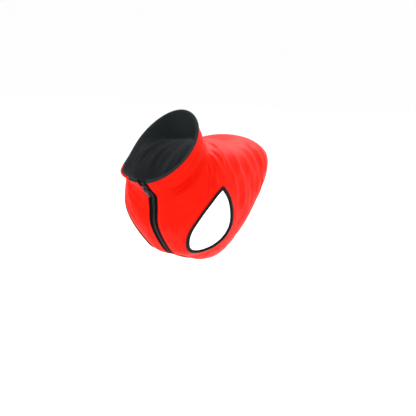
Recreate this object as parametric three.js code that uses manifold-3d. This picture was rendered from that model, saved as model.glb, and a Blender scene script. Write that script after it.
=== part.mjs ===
// Dog winter coat: a padded sleeveless vest with a stand collar and a full-length front zip.
// Millimetres, +Z up. The chest and the zip face -Y, the wearer's left side is +X, and the back
// runs towards +Y. The origin is on the inner face of the back, over the withers.
//
// The cloth is one tube, cut into panels. A point on it is (u, v): u counts the rings from the
// rim of the collar to the hem, v goes from the zip (0) round to the spine (1 or -1, left or right).

import * as THREE from "three";
import { mergeVertices } from "three/addons/utils/BufferGeometryUtils.js";
import Module from "manifold-3d";

const wasm = await Module();
wasm.setup();

// Rings, as seen from the side. Each runs from its front point on the zip line to its back point
// on the spine. widest is where along that line it is broadest, bow moves its sides towards the
// tail, and the powers square its front and back (2 is an ellipse).
const RINGS = table(
  ["name", "frontY", "frontZ", "backY", "backZ", "halfWidth", "widest", "bow", "frontPower", "backPower"],
  [
    ["rim", -157, -41.5, -40, 49, 48.5, 0.52, 3, 1.98, 1.97],
    ["stand", -141.5, -56, -31, 25, 52.5, 0.52, -8, 1.95, 2.04],
    ["neck seam", -128.5, -66.5, -26, 9.5, 58, 0.51, -14, 2.03, 2.04],
    ["withers", -126, -83, 0, 2.6, 72, 0.5, -12, 2.19, 2.1],
    ["breast", -122, -114, 40.5, -3.5, 82.5, 0.49, -6, 2.3, 2.16],
    ["brisket", -86.5, -156.5, 87.5, -3, 83, 0.5, 0.5, 2.31, 2.18],
    ["girth", -51, -171.5, 124.5, -10, 80, 0.53, -1, 2.26, 2.19],
    ["belly", -19.5, -183.5, 152, -21.5, 74, 0.54, -11, 2.22, 2.21],
    ["hem", 13, -190, 171.5, -34, 66, 0.54, -27, 2.22, 2.23],
  ],
);
const RIM = 0;
const NECK = 2;
const HEM = RINGS.length - 1;

// The cloth laid flat, for distances along it
const RING_PITCH = 32;
const COLLAR_PITCH = 20;
const HALF_GIRTH = 310;
const NECK_HALF_GIRTH = 195;

// Cloth: walls are thin at seams and edges and full in the middle of a panel
const PAD_WALL = 2.6;
const EDGE_WALL = 1.4;
const EDGE_FLAT = 5.5;
const PAD_RISE = 12;
const SEAM_GAP = 0.3;

// The rim is turned out over the wearer's right breast
const FLARE = { v: -0.24, spread: 0.12, depth: 1.1, out: 11, up: -1 };

// Folds of the cloth: a soft ridge (height above 0) or trough (below 0) along a curve from
// (u0, v0) by way of (u1, v1) to (u2, v2)
const FOLDS = table(
  ["name", "u0", "v0", "u1", "v1", "u2", "v2", "width", "height"],
  [
    ["left neck crease", 2.1, 0.56, 2.35, 0.38, 2.1, 0.12, 7, -3.2],
    ["left neck roll", 2.75, 0.44, 2.85, 0.28, 2.75, 0.1, 9, 1.6],
    ["left chest crease", 3.5, 0.27, 3.62, 0.19, 3.7, 0.07, 6, -1.5],
    ["left chest roll", 3.95, 0.2, 4.1, 0.13, 4.2, 0.07, 7, 1.1],
    ["left shoulder crease", 2.25, 0.535, 2.95, 0.44, 3.72, 0.395, 4.5, -1.5],
    ["left shoulder ridge", 2.4, 0.52, 3.0, 0.465, 3.7, 0.425, 4.5, 1.2],
    ["right neck crease", 2.6, -0.3, 2.45, -0.17, 2.75, -0.06, 7, -3.4],
    ["right breast ridge", 2.95, -0.27, 3.2, -0.15, 3.6, -0.07, 7, 2],
    ["right breast crease", 3.4, -0.28, 3.6, -0.19, 4.0, -0.1, 6, -1.4],
    ["right neck hollow", 2.1, -0.56, 2.3, -0.45, 2.3, -0.34, 8, -2.4],
    ["right shoulder crease", 2.3, -0.54, 3.0, -0.44, 3.75, -0.4, 4.5, -1.4],
    ["left back ridge 1", 2.45, 0.85, 2.75, 0.64, 3.6, 0.5, 6, 1.7],
    ["left back crease 1", 2.7, 0.86, 3.1, 0.66, 3.6, 0.54, 5, -1.3],
    ["left back ridge 2", 3.4, 0.88, 3.85, 0.66, 4.45, 0.55, 7, 1.8],
    ["left back crease 2", 3.9, 0.9, 4.3, 0.68, 4.75, 0.55, 6, -1.4],
    ["left back ridge 3", 4.25, 0.84, 4.75, 0.68, 5.2, 0.57, 7, 1.7],
    ["left back crease 3", 5.0, 0.86, 5.4, 0.7, 5.7, 0.58, 7, -1.5],
    ["left rump ridge", 5.9, 0.88, 6.3, 0.74, 6.5, 0.6, 8, 1.6],
    ["left flank crease", 4.6, 0.48, 5.3, 0.42, 6.1, 0.37, 6, -1.4],
    ["left flank ridge", 5.0, 0.55, 5.7, 0.46, 6.4, 0.4, 7, 1.4],
    ["left hem crease", 6.7, 0.62, 7.1, 0.5, 7.4, 0.38, 8, -1.5],
    ["right back ridge 1", 2.5, -0.83, 2.9, -0.66, 3.4, -0.54, 6, 1.6],
    ["right back crease 1", 2.9, -0.88, 3.3, -0.68, 3.8, -0.53, 5, -1.4],
    ["right back ridge 2", 3.6, -0.86, 4.0, -0.66, 4.5, -0.53, 7, 1.7],
    ["right back crease 2", 4.2, -0.88, 4.6, -0.68, 5.0, -0.55, 6, -1.4],
    ["right back ridge 3", 4.7, -0.82, 5.1, -0.66, 5.4, -0.53, 7, 1.6],
    ["right rump crease", 5.6, -0.86, 6.0, -0.7, 6.2, -0.57, 7, -1.5],
    ["right flank ridge", 4.9, -0.5, 5.7, -0.44, 6.4, -0.39, 7, 1.4],
    ["right hem crease", 6.6, -0.66, 7.0, -0.52, 7.3, -0.4, 8, -1.5],
    ["belly crease", 5.9, 0.2, 6.2, 0.12, 6.1, 0.05, 7, -1.2],
    ["belly ridge", 6.6, -0.22, 6.8, -0.14, 6.7, -0.05, 8, 1.2],
    ["nape crease left", 2.15, 0.78, 2.25, 0.9, 2.3, 1.0, 9, -1.8],
    ["nape crease right", 2.15, -0.78, 2.25, -0.9, 2.3, -1.0, 9, -1.8],
  ],
);
const FOLD_STEPS = 10;
const FOLD_TAPER = 0.25;
const FOLD_CLEAR = 5;
const FOLD_FADE = 12;

// Small steps of u and v, for directions on the cloth and along the zip
const TANGENT_STEP = 0.002;
const ZIP_PROBE = 0.01;
const SLIDER_REACH = 0.2;

// Seams and edges of the left half as (u, v), mirrored on the right
const SHOULDER_V = 0.59;
const APEX = [3.84, 0.457];
const UNDERARM = [5.76, 0.21];
const SHOULDER_SEAM = [[NECK, SHOULDER_V], [2.4, 0.55], [3.0, 0.502], APEX];
const ARMHOLE_FRONT = [
  APEX, [3.82, 0.385], [3.98, 0.29], [4.4, 0.185], [4.93, 0.137], [5.45, 0.155], UNDERARM,
];
const ARMHOLE_REAR = [APEX, [4.35, 0.442], [4.9, 0.392], [5.4, 0.33], [5.73, 0.265], UNDERARM];
const SIDE_SEAM = [UNDERARM, [6.8, 0.245], [HEM, 0.28]];

// Rows of cells along the shoulder seam, armhole and side seam, and where on the zip line and on
// the spine the rows from their ends arrive
const ROWS = [8, 16, 8];
const ZIP_LINE = [NECK, 3.3, 5.7, HEM];
const SPINE = [NECK, 3.6, 6.5, HEM];
const CHEST_COLUMNS = 12;
const BACK_COLUMNS = 36;
const EDGE_COLUMN = 5;
const COLLAR_ROWS = 6;
const COLLAR_BACK_COLUMNS = 22;

// Collar lining: the inner wall of the collar, rolled over its rim. round and crown place the
// corners of the roll as shares of the collar's face.
const LINING = {
  wall: 1,
  bottom: 1.96,
  lap: 2.2,
  cap: 0.3,
  ease: 0.3,
  nearZip: 12,
  tapeRoom: 1.6,
  round: 0.8,
  crown: 0.5,
};

// Armhole binding: a folded strip with the panels' edge in its slot. shoulder and cheek place the
// corners of its rounded nose, as shares of the nose's length and the face's height.
const BINDING = { leaf: 0.8, over: 3.6, nose: 1.6, ease: 0.2, shoulder: 0.8, cheek: 0.65 };

// Front zip: two tapes under the panels' edges and a coil between them
const ZIP = { wide: 7.8, narrow: 6.2, narrowing: 3.5, top: 0.1, bottom: 7.93, rows: 46 };
const TAPE = { inner: 1.9, outer: 12, wall: 0.6, drop: 0.6, under: 0.35 };
const COIL = { half: 1.5, top: 0.6, crown: 0.7 };

// Slider: a channel over the coil, with a bail that holds the pull's end bar
const SLIDER = { u: 0.62, length: 12, width: 8.4, wall: 1.3, clear: 0.35, channel: 2, bevel: 0.6 };
const BAIL = { length: 7.6, inside: 5, width: 1.5, rise: 3.2, wall: 0.9, bevel: 1.1 };
const PULL = {
  bar: 1.1,
  wall: 1.2,
  slot: 4.6,
  slotWidth: 2.9,
  width: 6.4,
  shoulder: 3,
  length: 20,
  tailWidth: 4.6,
  tailRound: 0.7,
  rest: 46,
};

const SHELL_RED = { color: 0xf02a17, roughness: 0.5, metalness: 0 };
const LINING_GREY = { color: 0x26282b, roughness: 0.8, metalness: 0 };
const TRIM_BLACK = { color: 0x0d0f10, roughness: 0.65, metalness: 0 };
const SLIDER_GREY = { color: 0x303236, roughness: 0.4, metalness: 0.6 };

const SIDES = [
  ["left", 1],
  ["right", -1],
];

const shoulderLine = spaced(SHOULDER_SEAM, ROWS[0]);
const frontLine = spaced(ARMHOLE_FRONT, ROWS[1]);
const rearLine = spaced(ARMHOLE_REAR, ROWS[1]);
const sideLine = spaced(SIDE_SEAM, ROWS[2]);
const foldSpines = FOLDS.map(foldSpine);

// Rows of a table as objects with named columns
function table(columns, rows) {
  return rows.map((row) => Object.fromEntries(columns.map((column, i) => [column, row[i]])));
}

// Steps from a to b, both included
function evenly(count, a, b) {
  return Array.from({ length: count + 1 }, (_, i) => a + ((b - a) * i) / count);
}

// Points along a smooth line through (u, v) corners, evenly spaced on the flat cloth
function spaced(corners, count) {
  const flat = corners.map(([u, v]) => new THREE.Vector2(u * RING_PITCH, v * HALF_GIRTH));
  const curve = new THREE.SplineCurve(flat);
  return curve.getSpacedPoints(count).map(({ x, y }) => ({ u: x / RING_PITCH, v: y / HALF_GIRTH }));
}

function blend(a, b, t) {
  return { u: a.u + (b.u - a.u) * t, v: a.v + (b.v - a.v) * t };
}

function flatDistance(a, b) {
  return Math.hypot((a.u - b.u) * RING_PITCH, (a.v - b.v) * HALF_GIRTH);
}

// Brings v into the range from -1 to 1
function wrap(v) {
  return v > 1 ? v - 2 : v;
}

// 0 to 1 with a soft start and end
function smooth(t) {
  const c = Math.min(1, Math.max(0, t));
  return c * c * (3 - 2 * c);
}

// Value of one ring column at u, on a Catmull-Rom curve through the table
function ringValue(column, u) {
  const i = Math.min(HEM - 1, Math.max(0, Math.floor(u)));
  const f = u - i;
  const p1 = RINGS[i][column];
  const p2 = RINGS[i + 1][column];
  const p0 = i > 0 ? RINGS[i - 1][column] : 2 * p1 - p2;
  const p3 = i < HEM - 1 ? RINGS[i + 2][column] : 2 * p2 - p1;
  const square = 2 * p0 - 5 * p1 + 4 * p2 - p3;
  const cube = 3 * p1 - p0 - 3 * p2 + p3;
  return p1 + ((p2 - p0) * f + square * f * f + cube * f ** 3) / 2;
}

// The form of the coat without its folds
function form(u, v) {
  const sine = Math.sin(Math.PI * v);
  const cosine = Math.cos(Math.PI * v);
  const atBack = (1 - cosine) / 2;
  const power = ringValue("frontPower", u) * (1 - atBack) + ringValue("backPower", u) * atBack;
  const radius = (Math.abs(sine) ** power + Math.abs(cosine) ** power) ** (-1 / power);
  const along = cosine * radius;
  const widest = ringValue("widest", u);
  const fraction = along > 0 ? widest * (1 - along) : widest + (widest - 1) * along;
  const front = new THREE.Vector3(0, ringValue("frontY", u), ringValue("frontZ", u));
  const back = new THREE.Vector3(0, ringValue("backY", u), ringValue("backZ", u));
  const chord = back.clone().sub(front);
  const bow = (ringValue("bow", u) * sine * sine) / chord.length();
  const besideFlare = (wrap(v) - FLARE.v) / FLARE.spread;
  const turned = smooth(1 - Math.max(u, 0) / FLARE.depth) * Math.exp(-(besideFlare ** 2));
  const point = front.addScaledVector(chord, fraction);
  point.x = ringValue("halfWidth", u) * sine * radius;
  point.y += chord.z * bow;
  point.z -= chord.y * bow;
  point.x += Math.sin(Math.PI * FLARE.v) * FLARE.out * turned;
  point.y -= Math.cos(Math.PI * FLARE.v) * FLARE.out * turned;
  point.z += FLARE.up * turned;
  return point;
}

// Directions along the cloth at a point: towards the hem, and round the wearer from the zip
function tangents(u, v) {
  const step = TANGENT_STEP;
  const down = form(u + step, v).sub(form(u - step, v)).divideScalar(2 * step);
  const round = form(u, v + step).sub(form(u, v - step)).divideScalar(2 * step);
  return { down, round };
}

function outward(u, v) {
  const { down, round } = tangents(u, v);
  return down.cross(round).normalize();
}

// A point of the cloth, lift millimetres outside the middle of its wall. The rings are the outer
// face of a full wall.
function clothPoint(u, v, lift) {
  return form(u, v).addScaledVector(outward(u, v), lift - PAD_WALL / 2 + foldHeight(u, v));
}

// A fold's spine as points on the flat cloth, with the share of the height that each one has
function foldSpine({ u0, v0, u1, v1, u2, v2 }) {
  return evenly(FOLD_STEPS, 0, 1).map((t) => {
    const a = (1 - t) ** 2;
    const b = 2 * t * (1 - t);
    const share = smooth(Math.min(t, 1 - t) / FOLD_TAPER);
    return { u: a * u0 + b * u1 + t * t * u2, v: a * v0 + b * v1 + t * t * v2, share };
  });
}

// Height of all folds at a point, flat at the zip and the armholes
function foldHeight(u, v) {
  const here = { u, v: wrap(v) };
  const edge = Math.min(zipDistance(here), armholeDistance(here)) - FOLD_CLEAR;
  const heights = FOLDS.map(({ height, width }, i) => height * foldShare(foldSpines[i], here, width));
  return heights.reduce((sum, height) => sum + height, 0) * smooth(edge / FOLD_FADE);
}

function foldShare(spine, here, width) {
  const near = nearest(spine, here);
  const share = near.from.share + (near.to.share - near.from.share) * near.t;
  return share * Math.exp(-((near.distance / width) ** 2));
}

// The nearest place on a line to a point of the flat cloth
function nearest(line, here) {
  let best = { distance: Infinity };
  for (let i = 0; i + 1 < line.length; i += 1) {
    const from = line[i];
    const to = line[i + 1];
    const du = (to.u - from.u) * RING_PITCH;
    const dv = (to.v - from.v) * HALF_GIRTH;
    const along = (here.u - from.u) * RING_PITCH * du + (here.v - from.v) * HALF_GIRTH * dv;
    const t = Math.min(1, Math.max(0, along / (du * du + dv * dv)));
    const distance = flatDistance(here, blend(from, to, t));
    if (distance < best.distance) {
      best = { distance, from, to, t };
    }
  }
  return best;
}

function zipDistance(here) {
  const halfGirth = here.u < NECK ? NECK_HALF_GIRTH : HALF_GIRTH;
  return Math.abs(here.v) * halfGirth - zipOpening(here.u);
}

function armholeDistance(here) {
  const mirrored = { u: here.u, v: Math.abs(here.v) };
  return Math.min(nearest(frontLine, mirrored).distance, nearest(rearLine, mirrored).distance);
}

// Distance along the cloth to the nearest seam or edge
function edgeDistance(here) {
  const pitch = here.u < NECK ? COLLAR_PITCH : RING_PITCH;
  const ends = [here.u * COLLAR_PITCH, Math.abs(here.u - NECK) * pitch, (HEM - here.u) * RING_PITCH];
  const mirrored = { u: here.u, v: Math.abs(here.v) };
  const seams = [nearest(shoulderLine, mirrored).distance, nearest(sideLine, mirrored).distance];
  return Math.min(...ends, zipDistance(here), armholeDistance(here), ...seams);
}

// Half the wall of a padded panel
function halfWall(u, v) {
  const rise = Math.min(1, Math.max(0, edgeDistance({ u, v: wrap(v) }) - EDGE_FLAT) / PAD_RISE);
  return (EDGE_WALL + (PAD_WALL - EDGE_WALL) * Math.sin((rise * Math.PI) / 2)) / 2;
}

// The v of a point that many millimetres beside the zip line
function besideZip(u, across) {
  return (across * ZIP_PROBE) / form(u, ZIP_PROBE).distanceTo(form(u, 0));
}

// Half the width of the gap between the panels, in which the zip shows
function zipOpening(u) {
  return ZIP.wide + (ZIP.narrow - ZIP.wide) * smooth((u - NECK) / ZIP.narrowing);
}

function zipPoint(u, across, lift) {
  return clothPoint(u, besideZip(u, across), lift);
}

// A padded wall on rows of (u, v) points, each cell split along its shorter diagonal
function paddedWall(rows) {
  const width = rows[0].length;
  const outer = rows.flat().map(({ u, v }) => clothPoint(u, v, halfWall(u, v)));
  const inner = rows.flat().map(({ u, v }) => clothPoint(u, v, -halfWall(u, v)));
  const triangles = [];
  const quad = (a, b, c, d) => triangles.push(a, b, c, a, c, d);
  const count = outer.length;
  for (let i = 0; i + 1 < rows.length; i += 1) {
    for (let j = 0; j + 1 < width; j += 1) {
      const a = i * width + j;
      const [b, c, d] = [a + width, a + width + 1, a + 1];
      const shorter = outer[a].distanceTo(outer[c]) < outer[b].distanceTo(outer[d]);
      const cell = shorter ? [a, b, c, d] : [b, c, d, a];
      quad(...cell);
      quad(...[0, 3, 2, 1].map((k) => cell[k] + count));
    }
  }
  const edge = rimOf(rows.length, width);
  edge.forEach((a, k) => {
    const b = edge[(k + 1) % edge.length];
    quad(a, b, count + b, count + a);
  });
  return closed(geometryOf([...outer, ...inner], triangles));
}

// Indices round the edge of a grid
function rimOf(rows, width) {
  const top = evenly(width - 1, 0, width - 1);
  const right = evenly(rows - 1, 0, rows - 1).map((i) => i * width + width - 1);
  const bottom = top.map((j) => (rows - 1) * width + j).reverse();
  const left = right.map((k) => k - width + 1).reverse();
  return [top, right, bottom, left].flatMap((side) => side.slice(0, -1));
}

// A solid through equal sections, closed on itself or capped at both ends. The outline gives the
// section's shape for its caps.
function sweep(sections, outline, looped) {
  const size = outline.length;
  const triangles = [];
  const last = looped ? sections.length : sections.length - 1;
  for (let i = 0; i < last; i += 1) {
    const next = (i + 1) % sections.length;
    for (let j = 0; j < size; j += 1) {
      const a = i * size + j;
      const b = i * size + ((j + 1) % size);
      const c = next * size + ((j + 1) % size);
      const d = next * size + j;
      triangles.push(a, b, c, a, c, d);
    }
  }
  if (!looped) {
    const contour = outline.map(([x, y]) => new THREE.Vector2(x, y));
    const faces = THREE.ShapeUtils.triangulateShape(contour, []);
    const turn = THREE.ShapeUtils.isClockWise(contour) ? 1 : -1;
    const end = (sections.length - 1) * size;
    for (const face of faces) {
      const [a, b, c] = turn > 0 ? [...face].reverse() : face;
      triangles.push(a, c, b, end + a, end + b, end + c);
    }
  }
  return closed(geometryOf(sections.flat(), triangles));
}

function geometryOf(points, triangles) {
  const geometry = new THREE.BufferGeometry().setFromPoints(points);
  geometry.setIndex(triangles);
  return geometry;
}

// Merges shared vertices and turns the faces outward
function closed(geometry) {
  geometry.deleteAttribute("normal");
  geometry.deleteAttribute("uv");
  const merged = mergeVertices(geometry, 1e-4);
  if (signedVolume(merged) < 0) {
    merged.setIndex([...merged.index.array].reverse());
  }
  merged.computeVertexNormals();
  return merged;
}

function signedVolume(geometry) {
  const { index } = geometry;
  const position = geometry.getAttribute("position");
  const corner = (k) => new THREE.Vector3().fromBufferAttribute(position, index.getX(k));
  let sum = 0;
  for (let k = 0; k < index.count; k += 3) {
    sum += corner(k).dot(corner(k + 1).cross(corner(k + 2)));
  }
  return sum / 6;
}

// One body from several overlapping ones
function joined(...geometries) {
  const solids = geometries.map((geometry) => {
    const vertProperties = new Float32Array(geometry.getAttribute("position").array);
    const triVerts = new Uint32Array(geometry.index.array);
    return new wasm.Manifold(new wasm.Mesh({ numProp: 3, vertProperties, triVerts }));
  });
  const mesh = solids.reduce((whole, solid) => whole.add(solid)).getMesh();
  const geometry = new THREE.BufferGeometry();
  geometry.setAttribute("position", new THREE.BufferAttribute(mesh.vertProperties, 3));
  geometry.setIndex([...mesh.triVerts]);
  return closed(geometry);
}

const coat = new THREE.Group();
coat.name = "dog_winter_coat";

function addMesh(name, geometry, finish) {
  const mesh = new THREE.Mesh(geometry, new THREE.MeshStandardMaterial(finish));
  mesh.name = name;
  coat.add(mesh);
}

// Ends of each row of cells: on the zip line, on the seam or armhole edge of a front panel and of
// the back panel, and on the spine
function panelRows() {
  const part = (corners, i) => evenly(ROWS[i], corners[i], corners[i + 1]);
  const stepped = (corners) => ROWS.flatMap((_, i) => part(corners, i).slice(i > 0 ? 1 : 0));
  const ahead = [...shoulderLine, ...frontLine.slice(1), ...sideLine.slice(1)];
  const behind = [...shoulderLine, ...rearLine.slice(1), ...sideLine.slice(1)];
  const zipLine = stepped(ZIP_LINE);
  const spine = stepped(SPINE);
  return ahead.map((edge, i) => ({
    zipU: zipLine[i],
    ahead: edge,
    behind: behind[i],
    spineU: spine[i],
  }));
}

// Keeps a panel half a gap below the neck seam
function belowNeck(u) {
  return Math.max(u, NECK + SEAM_GAP / 2 / RING_PITCH);
}

// Shares of a row from its seam or armhole edge: half a gap, a narrow column, then even ones
function edgeColumns(count, width) {
  const first = Math.min(EDGE_COLUMN / width, 1 / count);
  return [SEAM_GAP / 2 / width, ...evenly(count - 1, first, 1)];
}

function chestRow({ zipU, ahead }) {
  const start = { u: belowNeck(zipU), v: besideZip(zipU, zipOpening(zipU)) };
  const end = { u: belowNeck(ahead.u), v: ahead.v };
  const shares = edgeColumns(CHEST_COLUMNS, flatDistance(start, end)).reverse();
  return shares.map((t) => blend(start, end, 1 - t));
}

// A row of the back panel leaves its armhole steeply and crosses the spine squarely
function backRow({ behind, spineU }) {
  const start = { u: belowNeck(behind.u), v: behind.v };
  const end = { u: belowNeck(spineU), v: 1 };
  const bent = (t) => ({ u: blend(start, end, 1 - (1 - t) ** 2).u, v: blend(start, end, t).v });
  const left = edgeColumns(BACK_COLUMNS / 2, flatDistance(start, end)).map(bent);
  const right = left.slice(0, -1).reverse().map(({ u, v }) => ({ u, v: 2 - v }));
  return [...left, ...right];
}

function addPanels() {
  const rows = panelRows();
  const left = rows.map(chestRow);
  const right = left.map((row) => row.map(({ u, v }) => ({ u, v: -v })));
  addMesh("chest_panel_left", paddedWall(left), SHELL_RED);
  addMesh("chest_panel_right", paddedWall(right), SHELL_RED);
  addMesh("back_panel", paddedWall(rows.map(backRow)), SHELL_RED);
}

// v of the collar's columns at one height, from zip edge to zip edge
function collarColumns(u) {
  const edge = besideZip(u, zipOpening(u));
  const left = evenly(CHEST_COLUMNS, edge, SHOULDER_V).slice(0, -1);
  const back = evenly(COLLAR_BACK_COLUMNS, SHOULDER_V, 2 - SHOULDER_V);
  return [...left, ...back, ...left.map((v) => 2 - v).reverse()];
}

function addCollar() {
  const bottom = NECK - SEAM_GAP / 2 / COLLAR_PITCH;
  const heights = evenly(COLLAR_ROWS, RIM, bottom);
  const rows = heights.map((u) => collarColumns(u).map((v) => ({ u, v })));
  addMesh("collar", paddedWall(rows), SHELL_RED);
  const places = rows[0].map((_, i) => liningSection(rows, i));
  const sections = places.map((section) => section.map(({ u, v, lift }) => clothPoint(u, v, lift)));
  const outline = places[0].map(({ u, lift }) => [u * COLLAR_PITCH, lift]);
  addMesh("collar_lining", sweep(sections, outline, false), LINING_GREY);
}

// Section of the lining at one column of the collar: up the inside, over the rim, down a little
// on the outside, and back at its own thickness. Beside the zip it leaves room for the tape.
function liningSection(rows, i) {
  const { wall, cap, lap, round, crown } = LINING;
  const beside = zipDistance({ u: RIM, v: wrap(rows[0][i].v) }) - (TAPE.outer - ZIP.wide);
  const room = SEAM_GAP + LINING.ease + LINING.tapeRoom * (1 - smooth(beside / LINING.nearZip));
  const inside = rows.map((row) => ({ ...row[i], u: Math.min(row[i].u, LINING.bottom) })).reverse();
  const behind = (extra) => ({ u, v }) => ({ u, v, lift: -halfWall(u, v) - room - extra });
  const rimV = rows[0][i].v;
  const face = EDGE_WALL / 2 + SEAM_GAP;
  const top = -cap / COLLAR_PITCH;
  const high = top - wall / COLLAR_PITCH;
  const low = lap / COLLAR_PITCH;
  const inward = SEAM_GAP - room;
  const lapped = [
    [top, inward - face * round],
    [top, face],
    [low, face],
    [low, face + wall * round],
    [top, face + wall],
    [high, face * crown],
    [high, inward - face * crown],
  ].map(([u, lift]) => ({ u, v: rimV, lift }));
  return [...inside.map(behind(0)), ...lapped, ...inside.map(behind(wall)).reverse()];
}

// Section of a binding: millimetres into the opening, and lift
function bindingOutline() {
  const { leaf, over, ease } = BINDING;
  const slot = EDGE_WALL / 2 + SEAM_GAP;
  const face = slot + leaf;
  const nose = SEAM_GAP + BINDING.nose;
  const shoulder = nose * BINDING.shoulder;
  const cheek = face * BINDING.cheek;
  return [
    [-over, slot + ease],
    [-over, face],
    [0, face],
    [shoulder, cheek],
    [nose, 0],
    [shoulder, -cheek],
    [0, -face],
    [-over, -face],
    [-over, -slot - ease],
    [SEAM_GAP, -slot],
    [SEAM_GAP, slot],
  ];
}

// A point beside an armhole's edge, into the opening, on the way from one neighbour to the other
function besideEdge(point, before, after, into, centre) {
  const { down, round } = tangents(point.u, point.v);
  const edge = form(after.u, after.v).sub(form(before.u, before.v));
  const aside = outward(point.u, point.v).cross(edge).normalize();
  if (aside.dot(centre.clone().sub(form(point.u, point.v))) < 0) {
    aside.negate();
  }
  const a = down.dot(down);
  const b = down.dot(round);
  const c = round.dot(round);
  const p = aside.dot(down) * into;
  const q = aside.dot(round) * into;
  const area = a * c - b * b;
  return { u: point.u + (c * p - b * q) / area, v: point.v + (a * q - b * p) / area };
}

function addBindings() {
  const loop = [...rearLine.slice(0, -1), ...frontLine.slice(1).reverse()];
  const total = loop.reduce((sum, { u, v }) => sum.add(form(u, v)), new THREE.Vector3());
  const centre = total.divideScalar(loop.length);
  const outline = bindingOutline();
  const places = loop.map((point, i) => {
    const before = loop[(i + loop.length - 1) % loop.length];
    const after = loop[(i + 1) % loop.length];
    return outline.map(([into, lift]) => ({ ...besideEdge(point, before, after, into, centre), lift }));
  });
  for (const [side, sign] of SIDES) {
    const pointOf = ({ u, v, lift }) => clothPoint(u, sign * v, lift);
    const sections = places.map((section) => section.map(pointOf));
    addMesh(`armhole_binding_${side}`, sweep(sections, outline, true), TRIM_BLACK);
  }
}

function addZip() {
  const stations = evenly(ZIP.rows, ZIP.top, ZIP.bottom);
  const { inner, outer, wall, drop } = TAPE;
  const face = -EDGE_WALL / 2 - TAPE.under;
  const tape = [
    [inner, face - wall],
    [outer, face - wall - drop],
    [outer, face - drop],
    [ZIP.wide, face],
    [inner, face],
  ];
  for (const [side, sign] of SIDES) {
    const sections = stations.map((u) => tape.map(([across, lift]) => zipPoint(u, sign * across, lift)));
    addMesh(`zip_tape_${side}`, sweep(sections, tape, false), TRIM_BLACK);
  }
  const { half, top, crown } = COIL;
  const low = face - wall;
  const coil = [
    [-half, low],
    [half, low],
    [half, 0],
    [crown, top],
    [-crown, top],
    [-half, 0],
  ];
  const sections = stations.map((u) => coil.map(([across, lift]) => zipPoint(u, across, lift)));
  addMesh("zip_coil", sweep(sections, coil, false), TRIM_BLACK);
}

// A frame on the zip: x across, y up along the zip, z out of the cloth
function zipFrame(u) {
  const above = clothPoint(u - SLIDER_REACH, 0, 0);
  const up = above.sub(clothPoint(u + SLIDER_REACH, 0, 0)).setX(0).normalize();
  const across = new THREE.Vector3(1, 0, 0);
  const out = new THREE.Vector3().crossVectors(across, up);
  return new THREE.Matrix4().makeBasis(across, up, out).setPosition(clothPoint(u, 0, 0).setX(0));
}

// An outline in the frame's x and z, with its length along y and the frame's zip in its middle
function extruded(points, length) {
  const shape = new THREE.Shape(points.map(([x, z]) => new THREE.Vector2(x, z)));
  const geometry = new THREE.ExtrudeGeometry(shape, { depth: length, bevelEnabled: false });
  geometry.translate(0, 0, -length / 2);
  geometry.rotateX(Math.PI / 2);
  return closed(geometry);
}

function addSlider() {
  const frame = zipFrame(SLIDER.u);
  const half = SLIDER.width / 2;
  const skirt = -EDGE_WALL / 2;
  const ceiling = COIL.top + SLIDER.clear;
  const plate = ceiling + SLIDER.wall;
  const { channel, bevel } = SLIDER;
  const section = [
    [-half, skirt],
    [-channel, skirt],
    [-channel, ceiling],
    [channel, ceiling],
    [channel, skirt],
    [half, skirt],
    [half, plate - bevel],
    [half - bevel, plate],
    [bevel - half, plate],
    [-half, plate - bevel],
  ];
  const body = extruded(section, SLIDER.length);
  const long = BAIL.length / 2;
  const inside = BAIL.inside / 2;
  const crest = plate + BAIL.rise;
  const root = plate - SLIDER.wall / 2;
  const loop = [
    [-long, root],
    [-inside, root],
    [-inside, crest - BAIL.wall],
    [inside, crest - BAIL.wall],
    [inside, root],
    [long, root],
    [long, crest - BAIL.bevel],
    [long - BAIL.bevel, crest],
    [BAIL.bevel - long, crest],
    [-long, crest - BAIL.bevel],
  ];
  const bail = extruded(loop, BAIL.width);
  bail.rotateZ(Math.PI / 2);
  const slider = joined(body, bail);
  slider.applyMatrix4(frame);
  addMesh("zip_slider", slider, SLIDER_GREY);

  const axis = new THREE.Vector3(0, 0, plate + (BAIL.rise - BAIL.wall) / 2).applyMatrix4(frame);
  const pull = pullTab();
  pull.rotateX(THREE.MathUtils.degToRad(PULL.rest));
  pull.translate(axis.x, axis.y, axis.z);
  addMesh("zip_pull", pull, SLIDER_GREY);
}

// The pull tab below its end bar, whose axis is on x. At rest it is turned to lie along the zip.
function pullTab() {
  const top = PULL.bar / 2;
  const half = PULL.width / 2;
  const tail = PULL.tailWidth / 2;
  const end = -PULL.length;
  const shoulder = -PULL.slot - PULL.shoulder;
  const turn = tail * PULL.tailRound;
  const outline = [
    [-half, top],
    [half, top],
    [half, shoulder],
    [tail, end + tail],
    [turn, end + tail - turn],
    [0, end],
    [-turn, end + tail - turn],
    [-tail, end + tail],
    [-half, shoulder],
  ];
  const shape = new THREE.Shape(outline.map(([x, z]) => new THREE.Vector2(x, z)));
  const slotHalf = PULL.slotWidth / 2;
  const slotEnd = -top - PULL.slot;
  const slot = [
    [-slotHalf, -top],
    [-slotHalf, slotEnd],
    [slotHalf, slotEnd],
    [slotHalf, -top],
  ];
  shape.holes.push(new THREE.Path(slot.map(([x, z]) => new THREE.Vector2(x, z))));
  const geometry = new THREE.ExtrudeGeometry(shape, { depth: PULL.wall, bevelEnabled: false });
  geometry.translate(0, 0, -PULL.wall / 2);
  geometry.rotateX(Math.PI / 2);
  return closed(geometry);
}

addPanels();
addCollar();
addBindings();
addZip();
addSlider();

export default coat;
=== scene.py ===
"""Dog winter coat: a padded vest with a stand collar, two bound armholes and a full-length zip.

Metres, +Z up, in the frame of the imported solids. The chest faces -Y and the wearer's left is +X.
A point of the cloth is (u, v): u counts the rings from the collar's rim to the hem, and v goes
from the zip (0) round to the spine (1 or -1, left or right).
"""

import logging
import math
from dataclasses import dataclass
from enum import Enum
from typing import NamedTuple

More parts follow.
